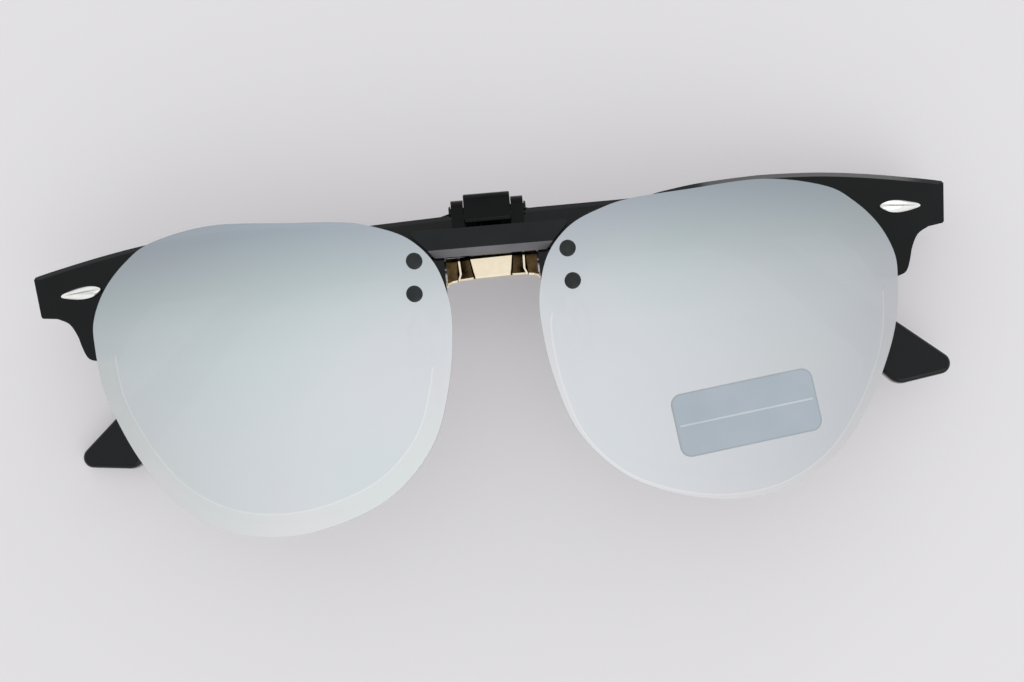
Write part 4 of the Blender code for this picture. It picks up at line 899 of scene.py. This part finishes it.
def arm_outline():
    butt = END_DEPTH + ARM_BUTT_GAP - HINGE_DEPTH
    drop = math.radians(ARM_DROP_DEG)
    along = Vector((math.cos(drop), -math.sin(drop)))
    upward = Vector((math.sin(drop), math.cos(drop)))
    waist = ARM_WAIST_HEIGHT
    bend_shift = waist * (math.tan(drop / 2) / 2)
    tip_upper = Vector((ARM_BEND_START, 0)) + along * ARM_DROP_LENGTH + upward * ARM_TIP_WIDTH / 2
    end_cut = math.radians(ARM_END_CUT_DEG)
    cut_way = Vector((-math.cos(end_cut), -math.sin(end_cut)))
    tip_lower = tip_upper + cut_way * (ARM_TIP_WIDTH / -cut_way.dot(upward))
    return fillet((
        (butt, ARM_BUTT_HEIGHT / 2, 0),
        (ARM_BEND_START + bend_shift, waist / 2, ARM_BEND_RADII[0]),
        (*tip_upper, ARM_TIP_RADII[0]), (*tip_lower, ARM_TIP_RADII[1]),
        (ARM_BEND_START - bend_shift, -waist / 2, ARM_BEND_RADII[1]),
        (butt, -ARM_BUTT_HEIGHT / 2, 0)), turn_deg=7)


def hinge_spot(side):
    return Matrix.Translation((side * HINGE_X, HINGE_Y, -HINGE_DEPTH))


def arm_place(side):
    return PLACE @ hinge_spot(side) @ Matrix.Rotation(side * (math.pi / 2 - side * LEAN), 4, "Y")


def make_arm(side, label):
    outline = arm_outline()
    start = min(u for u, v in outline)
    length = max(u for u, v in outline) - start
    bm = prism([(-u, v) for u, v in outline], 0.0, ARM_BUTT_THICKNESS, axes="zyx")
    for vert in bm.verts:
        run = (-vert.co.z - start) / length
        thickness = ARM_BUTT_THICKNESS + (ARM_TIP_THICKNESS - ARM_BUTT_THICKNESS) * run
        vert.co.x = side * (ARM_OUTER_OFFSET - (thickness if vert.co.x == 0 else 0))
    finish_piece(rounded(draft(bm), ARM_EDGE_RADIUS, 5), "arm_" + label, [BLACK], arm_place(side),
                 "arm_" + label, ["temple_" + label], 30)


def knuckle_span(index):
    low = HINGE_Y - HINGE_HEIGHT / 2 + index * (HINGE_HEIGHT - KNUCKLE_HEIGHT) / 2
    return low, low + KNUCKLE_HEIGHT


def bore(spot, low, high):
    outline = circle(*spot, PIN_RADIUS + RUNNING_GAP)
    return draft(prism(outline, low - CUT_OVERRUN, high + CUT_OVERRUN, axes="zxy"))


def make_front_leaf(side, label):
    hinge_x = side * HINGE_X
    front = -END_DEPTH - SEAT_GAP
    back = front - LEAF_THICKNESS
    plate_x = HINGE_X - KNUCKLE_RADIUS - SEAT_GAP
    low = HINGE_Y - HINGE_HEIGHT / 2

    def plate(inner, outer):
        return [(front, inner), (front, outer), (back, outer), (back, inner)]

    leaf = slab(plate(side * (plate_x - LEAF_REACH), side * plate_x), low, low + HINGE_HEIGHT,
                METAL_EDGE_RADIUS, axes="zxy")
    neck = plate(side * (plate_x - LEAF_THICKNESS), hinge_x)
    for index in (0, 2):
        knuckle = knuckle_span(index)
        barrel = circle(-HINGE_DEPTH, hinge_x, KNUCKLE_RADIUS)
        joined(leaf, slab(barrel, *knuckle, BARREL_EDGE_RADIUS, axes="zxy"))
        joined(leaf, draft(prism(neck, *knuckle, axes="zxy")))
    cut(leaf, bore((-HINGE_DEPTH, hinge_x), low, low + HINGE_HEIGHT))
    finish_piece(leaf, "front_leaf_" + label, [BLACK_STEEL], PLACE, "front",
                 ["front_hinge_leaf_" + label], 30)


def make_arm_leaf(side, label):
    inner = ARM_OUTER_OFFSET - ARM_BUTT_THICKNESS - SEAT_GAP
    outer = side * (inner - ARM_LEAF_THICKNESS)
    taper = (ARM_BUTT_THICKNESS - ARM_TIP_THICKNESS) / (ARM_BEND_START + ARM_DROP_LENGTH)
    plate = [(-ARM_LEAF_START, outer), (-ARM_LEAF_END, outer),
             (-ARM_LEAF_END, side * (inner + taper * ARM_LEAF_END)),
             (-ARM_LEAF_START, side * inner)]
    leaf = slab(plate, -ARM_LEAF_HEIGHT / 2, ARM_LEAF_HEIGHT / 2, METAL_EDGE_RADIUS, axes="zxy")
    low, high = (edge - HINGE_Y for edge in knuckle_span(1))
    joined(leaf, slab(circle(0, 0, KNUCKLE_RADIUS), low, high, BARREL_EDGE_RADIUS, axes="zxy"))
    neck = rectangle(0, outer, -(ARM_LEAF_START + LEAF_THICKNESS), side * inner)
    joined(leaf, draft(prism(neck, low, high, axes="zxy")))
    cut(leaf, bore((0, 0), low, high))
    finish_piece(leaf, "arm_leaf_" + label, [BLACK_STEEL], arm_place(side), "arm_" + label,
                 ["temple_hinge_leaf_" + label], 30)


def make_hinge_screw(side, label):
    foot, top = -HINGE_HEIGHT / 2, HINGE_HEIGHT / 2 + RUNNING_GAP
    profile = [(0, foot), (PIN_RADIUS, foot), (PIN_RADIUS, top)] + raised(SCREW_HEAD, top)
    seat = hinge_spot(side) @ Matrix.Rotation(-math.pi / 2, 4, "X")
    screw = draft(shifted(turned(profile), seat))
    slot = prism(rectangle(-SLOT_REACH, -SLOT_HALF_WIDTH, SLOT_REACH, SLOT_HALF_WIDTH),
                 top + SLOT_FLOOR, top + SLOT_FLOOR + CUT_OVERRUN)
    cut(screw, draft(shifted(slot, seat)))
    finish_piece(screw, "slotted_screw_" + label, [BLACK_STEEL], PLACE, "front",
                 ["hinge_screw_" + label], 30)


# Nose pads

def pad_mount(side):
    turn = Matrix.Rotation(side * math.radians(PAD_TURN_DEG), 4, "Y")
    splay = Matrix.Rotation(-side * math.radians(PAD_SPLAY_DEG), 4, "Z")
    return Matrix.Translation((side * PAD_SPOT[0], PAD_SPOT[1], PAD_SPOT[2])) @ splay @ turn


def make_nose_pad(side, label):
    bm = bmesh.new()
    rings = [[bm.verts.new((x * PAD_WIDTH / 2, y * PAD_LENGTH / 2, height * PAD_THICKNESS))
              for x, y in circle(0, 0, reach, PAD_SIDES)]
             for reach, height in spline(PAD_RING_SHARES, 5)]
    pad = rounded(draft(skin(bm, rings, capped=True)), PAD_EDGE_RADIUS, 3, angle_deg=25)
    finish_piece(pad, "soft_pad_" + label, [SILICONE], PLACE @ pad_mount(side), "pad_" + label,
                 ["nose_pad_" + label], 60)


def make_pad_screw(side, label):
    tip = PAD_THICKNESS / 2 + PAD_SCREW_TIP_GAP
    seat = PAD_THICKNESS / 2 + SEAT_GAP + PAD_CUP_HEIGHT + RUNNING_GAP
    profile = [(0, tip), (PAD_SCREW_RADIUS, tip), (PAD_SCREW_RADIUS, seat)]
    profile += raised(PAD_SCREW_HEAD, seat)
    finish_piece(draft(turned(profile)), "tiny_screw_" + label, [STEEL], PLACE @ pad_mount(side),
                 "pad_" + label, ["pad_screw_" + label], 40)


def make_pad_arm(side, label):
    local = pad_mount(side)
    low = PAD_THICKNESS / 2 + SEAT_GAP
    cup = slab(circle(0, 0, PAD_CUP_RADIUS), low, low + PAD_CUP_HEIGHT, METAL_EDGE_RADIUS, 3)
    cup.data.transform(local)
    middle = low + PAD_CUP_HEIGHT / 2
    end = local @ Vector((0, PAD_CUP_RADIUS / 2 + PAD_SCREW_RADIUS, middle))
    rim = local @ Vector((0, PAD_CUP_RADIUS, middle))
    bridge_back = -(BRIDGE_FRONT_DEPTH + BRIDGE_THICKNESS + PAD_WIRE_ROOT_ROOM + SEAT_GAP)
    root = Vector((side * (HALF_BRIDGE - PAD_WIRE_ROOT_INSET), 0, bridge_back))
    loop = [root + (rim - root) * Vector(shares) for shares in PAD_WIRE_SHARES]
    path = spline([tuple(spot) for spot in (root, *loop, end)], 12)
    joined(cup, draft(tube(path, PAD_WIRE_RADIUS, 20)))
    hole = prism(circle(0, 0, PAD_SCREW_RADIUS + RUNNING_GAP), low - CUT_OVERRUN, low + CUT_OVERRUN)
    cut(cup, draft(shifted(hole, local)))
    finish_piece(cup, "pad_wire_" + label, [GOLD], PLACE, "front", ["pad_arm_" + label],
                 30)


# Clip-on

def rivet_hole(spot):
    outline = circle(*spot, RIVET_SHANK_RADIUS + RUNNING_GAP)
    return draft(prism(outline, TAB_BACK - CUT_OVERRUN, CLIP_LENS_BACK + CUT_OVERRUN))


def rivet_spots(side):
    return [(side * RIVET_X, RIVET_UPPER_Y), (side * RIVET_LOWER_X, RIVET_LOWER_Y)]


def make_sun_lens(side, label):
    width, height, (middle, centre_y), nose_top = SEAMS[side]
    outlines = [lens_outline(CLIP_LENS_WIDTH, CLIP_LENS_HEIGHT, CLIP_LENS_CENTRE_Y)]
    outlines += [lens_outline(width, height, centre_y, grow, middle)
                 for grow in (SEAM_HALF_LINE, -SEAM_HALF_LINE)]
    bands = [mirrored(outline, side) for outline in outlines]
    lens = draft(bend(banded_plate(bands, CLIP_LENS_BACK, CLIP_LENS_FRONT)))
    rounded(lens, CLIP_LENS_EDGE_RADIUS, 2)
    for spot in rivet_spots(side):
        cut(lens, rivet_hole(spot))

    # Front faces get the mirror, the paler painted band (3) or the painted highlight line along the
    # frame lens's edge (4).
    def pick(polygon):
        x, y = polygon.center.x, polygon.center.y
        if polygon.normal.z < -0.9:
            return 2
        if polygon.normal.z < 0.9:
            return 1
        if y > (SEAM_TOP_Y if side * x > middle else nose_top) or inside(bands[2], x, y):
            return 0
        return 4 if inside(bands[1], x, y) else 3

    finish_piece(lens, "mirror_lens_" + label, [MIRROR, LENS_EDGE, LENS_BACK, LENS_PAINTED_BAND, SEAM_PAINTED_HIGHLIGHT],
                 CLIP_PLACE, "clip", ["clip_lens_" + label], 20, pick)


def make_label():
    """The blank film on the left sun lens: a rim, and one pale line across its middle."""
    low = CLIP_LENS_FRONT + LABEL_LIFT
    high = low + LABEL_THICKNESS

    def corners(inset):
        x, y = LABEL_SIZE[0] / 2 - inset, LABEL_SIZE[1] / 2 - inset
        return round_corners(rectangle(-x, -y, x, y), LABEL_CORNER_RADIUS - inset)

    field = corners(LABEL_RIM)
    bm = banded_plate((corners(0.0), field), low, high)
    end = LABEL_SIZE[0] / 2 - 3 * LABEL_RIM
    line = rectangle(-end, -LABEL_LINE_HALF_HEIGHT, end, LABEL_LINE_HALF_HEIGHT)
    prism(line, high - LABEL_THICKNESS / 4, high + LABEL_THICKNESS / 4, bm=bm)

    def pick(face):
        x, y, z = face.calc_center_median()
        if z > high + LABEL_THICKNESS / 8:
            return 2
        return 0 if inside(field, x, y) and face.normal.z > 0.9 else 1

    bm.normal_update()
    for face in bm.faces:
        face.material_index = pick(face)
    turn = Matrix.Rotation(math.radians(LABEL_TURN_DEG), 4, "Z")
    bend(shifted(bm, Matrix.Translation((*LABEL_CENTRE, 0)) @ turn))
    finish_piece(draft(bm), "blank_label", [LABEL_FILM, LABEL_EDGE, LABEL_LINE], CLIP_PLACE,
                 "clip", [])


def make_clip_bar():
    profile = ((BAR_BOTTOM_Y, BAR_BACK), (BAR_BOTTOM_Y, BAR_LIP_FRONT),
               (BAR_KNEE_Y, BAR_FRONT), (BAR_TOP_Y, BAR_FRONT),
               (BAR_TOP_Y, BAR_BACK))
    bm = prism(profile, -1, 1, axes="yzx")
    rise = BAR_TOP_Y - BAR_BOTTOM_Y
    flare = BAR_TOP_HALF - BAR_BOTTOM_HALF
    for vert in bm.verts:
        vert.co.x *= BAR_BOTTOM_HALF + flare * (vert.co.y - BAR_BOTTOM_Y) / rise
    corners = [edge for edge in bm.edges
               if all(vert.co.y > BAR_TOP_Y - SEAT_GAP for vert in edge.verts)
               and edge.verts[0].co.x * edge.verts[1].co.x > 0]
    bmesh.ops.bevel(bm, geom=corners, offset=BAR_CORNER_RADIUS, segments=6, profile=0.5,
                    affect="EDGES")
    bar = rounded(draft(bend(bm)), BAR_EDGE_RADIUS, 2, angle_deg=20)
    tab_in = RIVET_X - TAB_HALF_WIDTH
    tab_out = RIVET_LOWER_X + TAB_HALF_WIDTH
    tab_low = RIVET_LOWER_Y - TAB_HALF_WIDTH
    root_low = BAR_BOTTOM_Y + SEAT_GAP
    corner = TAB_CORNER_RADIUS
    tab = fillet((
        (TAB_ROOT_X, TAB_TOP_Y, 0), (tab_out, TAB_TOP_Y, corner),
        (tab_out, tab_low, corner), (tab_in, tab_low, corner), (tab_in, root_low, 0),
        (TAB_ROOT_X, root_low, 0)))
    ear_low, ear_back = BAR_KNEE_Y + BAR_LIP_FRONT, BAR_BACK + SEAT_GAP
    ear_front = EAR_FRONT_Z - SEAT_GAP
    ear = fillet(((ear_low, ear_back, 0), (ear_low, ear_front, 0),
                  (EAR_TOP_Y, ear_front, EAR_RADIUS), (EAR_TOP_Y, ear_back, EAR_RADIUS)))
    for side, _ in SIDES:
        plate = bend(prism(mirrored(tab, side), TAB_BACK, TAB_BACK + TAB_THICKNESS))
        joined(bar, rounded(draft(plate), METAL_EDGE_RADIUS, 2))
        reach = sorted((side * EAR_INNER_X, side * EAR_OUTER_X))
        joined(bar, slab(ear, *reach, CLIP_EDGE_RADIUS, 3, "yzx"))
    for side, _ in SIDES:
        for spot in rivet_spots(side):
            cut(bar, rivet_hole(spot))
    cut(bar, pin_hole(EAR_OUTER_X))

    def pick(polygon):
        # The ears take the lever's darker black.
        if polygon.center.y > BAR_TOP_Y + RUNNING_GAP:
            return 1
        # The lip's bevel that faces down and forward gets the painted sheen.
        on_lip = BAR_BOTTOM_Y < polygon.center.y < BAR_KNEE_Y
        return 2 if on_lip and -0.95 < polygon.normal.y < -0.5 and polygon.normal.z > 0.3 else 0

    finish_piece(bar, "clip_frame", [CLIP_BLACK, LEVER_BLACK, LIP_PAINTED_SHEEN], CLIP_PLACE, "clip",
                 ["clip_bar"], 30, pick=pick)


def make_rivet(spot, place, label):
    front = CLIP_LENS_FRONT + SEAT_GAP
    back = TAB_BACK - SEAT_GAP
    head = RIVET_HEAD_RADIUS
    rim = front + RIVET_RIM_HEIGHT
    profile = raised(RIVET_FOOT, back) + [
        (RIVET_SHANK_RADIUS, back), (RIVET_SHANK_RADIUS, front),
        (head - RIVET_RIM_BEVEL, front), (head, front + RIVET_RIM_BEVEL), (head, rim)]
    for degrees in (20, 40, 60, 80):
        angle = math.radians(degrees)
        profile.append((head - RIVET_CROWN[0] * (1 - math.cos(angle)),
                        rim + RIVET_CROWN[1] * math.sin(angle)))
    profile += raised(RIVET_TOP, front + RIVET_HEAD_HEIGHT)
    seat = Matrix.Translation((*spot, sag(spot[0])))
    name = "rivet_" + place + "_" + label
    finish_piece(draft(shifted(turned(profile, 48), seat)), "cap_" + name, [RIVET_GREY], CLIP_PLACE,
                 "clip", [name], 40)


def pin_hole(half_length):
    outline = circle(JAW_PIN_Y, JAW_PIN_Z, JAW_PIN_RADIUS + RUNNING_GAP)
    reach = half_length + CUT_OVERRUN
    return draft(prism(outline, -reach, reach, axes="yzx"))


def make_jaw():
    yoke_back = YOKE_FRONT_Z - YOKE_THICKNESS
    lever = fillet((
        (LEVER_BOTTOM_Y, JAW_FRONT_Z, LEVER_RADII[0]),
        (JAW_TOP_Y - SEAT_GAP, JAW_FRONT_Z, LEVER_RADII[1]),
        (JAW_TOP_Y, yoke_back, LEVER_RADII[2]), (JAW_BRIDGE_BOTTOM_Y, yoke_back, 0),
        (JAW_BRIDGE_BOTTOM_Y, LEVER_BACK_Z - JAW_PIN_RADIUS, 0),
        (LEVER_BOTTOM_Y, LEVER_BACK_Z, 0)))
    jaw = slab(lever, -JAW_HALF_WIDTH, JAW_HALF_WIDTH, CLIP_EDGE_RADIUS, 3, "yzx")
    neck_y = JAW_TOP_Y - SEAT_GAP - YOKE_NECK_DROP
    half = [(JAW_HALF_WIDTH - SEAT_GAP, neck_y, 0)]
    half += [(x, y, CLAW_CORNER_RADIUS) for x, y in (
        (CLAW_OUTER_X, YOKE_SHOULDER_Y), (CLAW_OUTER_X, CLAW_BOTTOM_Y),
        (CLAW_INNER_X, CLAW_BOTTOM_Y), (CLAW_INNER_X, YOKE_BOTTOM_Y))]
    yoke = fillet(half + [(-x, y, radius) for x, y, radius in reversed(half)])
    joined(jaw, slab(yoke, yoke_back, YOKE_FRONT_Z, CLIP_EDGE_RADIUS, 3))
    cut(jaw, pin_hole(JAW_HALF_WIDTH))
    pocket = rectangle(LEVER_BOTTOM_Y - CUT_OVERRUN, POCKET_FRONT_Z, POCKET_TOP_Y, 0.0)
    cut(jaw, draft(prism(pocket, -POCKET_HALF_WIDTH, POCKET_HALF_WIDTH, axes="yzx")))
    finish_piece(jaw, "jaw_lever", [LEVER_BLACK], CLIP_PLACE, "jaw", ["clip_jaw"],
                 30)


def make_claw_pad(side, label):
    low_y = CLAW_BOTTOM_Y + CLAW_PAD_INSET
    outline = round_corners(rectangle(
        CLAW_INNER_X + CLAW_PAD_INSET, low_y, CLAW_OUTER_X - CLAW_PAD_INSET,
        low_y + CLAW_PAD_HEIGHT), CLAW_CORNER_RADIUS)
    back = YOKE_FRONT_Z + SEAT_GAP
    pad = slab(mirrored(outline, side), back, back + CLAW_PAD_THICKNESS, CLAW_PAD_EDGE_RADIUS, 3)
    finish_piece(pad, "grip_pad_" + label, [RUBBER], CLIP_PLACE, "jaw", ["claw_pad_" + label],
                 40)


def make_pin():
    end = EAR_OUTER_X + RUNNING_GAP
    half = [(JAW_PIN_RADIUS, end)] + raised(JAW_PIN_HEAD, end)
    profile = [(radius, -height) for radius, height in half[::-1]] + half
    seat = Matrix.Translation((0, JAW_PIN_Y, JAW_PIN_Z)) @ Matrix.Rotation(math.pi / 2, 4, "Y")
    finish_piece(draft(shifted(turned(profile), seat)), "hinge_pin", [BLACK_STEEL], CLIP_PLACE,
                 "clip", ["jaw_pin"], 30)


def make_spring():
    coil = []
    for step in range(SPRING_TURNS * SPRING_STEPS + 1):
        turns = step / SPRING_STEPS
        angle = 2 * math.pi * turns
        coil.append(Vector((SPRING_PITCH * (turns - SPRING_TURNS / 2),
                            JAW_PIN_Y + SPRING_RADIUS * math.sin(angle),
                            JAW_PIN_Z - SPRING_RADIUS * math.cos(angle))))
    lower = coil[0] - Vector((0, JAW_PIN_Y - BAR_TOP_Y - SEAT_GAP, 0))
    upper = coil[-1] + Vector((0, POCKET_TOP_Y - JAW_PIN_Y - SEAT_GAP, 0))
    wire = tube([lower] + coil + [upper], SPRING_WIRE_RADIUS, 12)
    finish_piece(draft(wire), "coil_spring", [BLACK_STEEL], CLIP_PLACE, "clip", ["jaw_spring"],
                 60)


# Stage

def make_floor():
    bm = bmesh.new()
    bmesh.ops.create_grid(bm, x_segments=1, y_segments=1, size=FLOOR_HALF_WIDTH)
    floor = mesh_object(bm, "floor")
    material, tree, shader = new_material("pale_floor", {
        "Emission Color": (0.285, 0.272, 0.282, 1.0), "Emission Strength": 1.0,
        "Roughness": 0.85, "Specular IOR Level": 0.2})
    colour = ramp(tree, linked_noise(tree, 1.4), (
        (0.3, (0.515, 0.515, 0.520)), (0.7, (0.545, 0.543, 0.548))))
    tree.links.new(colour, shader.inputs["Base Color"])
    floor.data.materials.append(material)
    floor.location.z = -FLOOR_DROP


def make_world():
    """A soft white room, a little dimmer halfway down from overhead."""
    world = bpy.data.worlds.new("soft_room")
    bpy.context.scene.world = world
    world.use_nodes = True
    tree = world.node_tree
    spots = tree.nodes.new("ShaderNodeTexCoord")
    parts = tree.nodes.new("ShaderNodeSeparateXYZ")
    tree.links.new(spots.outputs["Generated"], parts.inputs["Vector"])
    colour = ramp(tree, parts.outputs["Z"], (
        (0.5, (0.93, 0.93, 0.95)), (0.72, (0.72, 0.73, 0.74)), (0.8, (0.63, 0.645, 0.65)),
        (0.9, (0.75, 0.755, 0.765)), (0.97, (0.85, 0.855, 0.87)), (1.0, (0.88, 0.88, 0.9))))
    background = set_inputs(tree.nodes["Background"], {"Strength": 1.0})
    tree.links.new(colour, background.inputs["Color"])


def make_light(name, spot, size, power):
    lamp = bpy.data.lights.new(name, "AREA")
    lamp.shape = "DISK"
    lamp.size = size
    lamp.energy = power
    obj = add_object(name, lamp)
    obj.location = spot
    obj.rotation_euler = (-Vector(spot)).to_track_quat("-Z", "Y").to_euler()


def make_camera():
    data = bpy.data.cameras.new("camera")
    data.sensor_fit = "HORIZONTAL"
    data.sensor_width = SENSOR_WIDTH
    data.lens = FOCAL_PIXELS / PHOTO_WIDTH * SENSOR_WIDTH
    data.clip_start = 0.01
    camera = add_object("camera", data)
    back = Vector(CAMERA_BACK).normalized()
    right = Vector(CAMERA_UP).cross(back).normalized()
    up = back.cross(right)
    axes = Matrix((right, up, back)).transposed().to_4x4()
    camera.matrix_world = PLACE @ Matrix.Translation(CAMERA_SPOT) @ axes
    bpy.context.scene.camera = camera


def main():
    make_camera()
    make_brow()
    make_bridge()
    for side, label in SIDES:
        for make in (make_lens, make_cord, make_stud, make_front_leaf, make_hinge_screw, make_arm,
                     make_arm_leaf, make_nose_pad, make_pad_screw, make_pad_arm, make_sun_lens):
            make(side, label)
        for spot, place in zip(rivet_spots(side), ("upper", "lower")):
            make_rivet(spot, place, label)
        make_claw_pad(side, label)
    make_label()
    make_clip_bar()
    make_jaw()
    make_pin()
    make_spring()
    make_floor()
    make_world()
    for lamp in LAMPS:
        make_light(*lamp)
    bpy.context.scene.view_settings.view_transform = "Standard"


main()
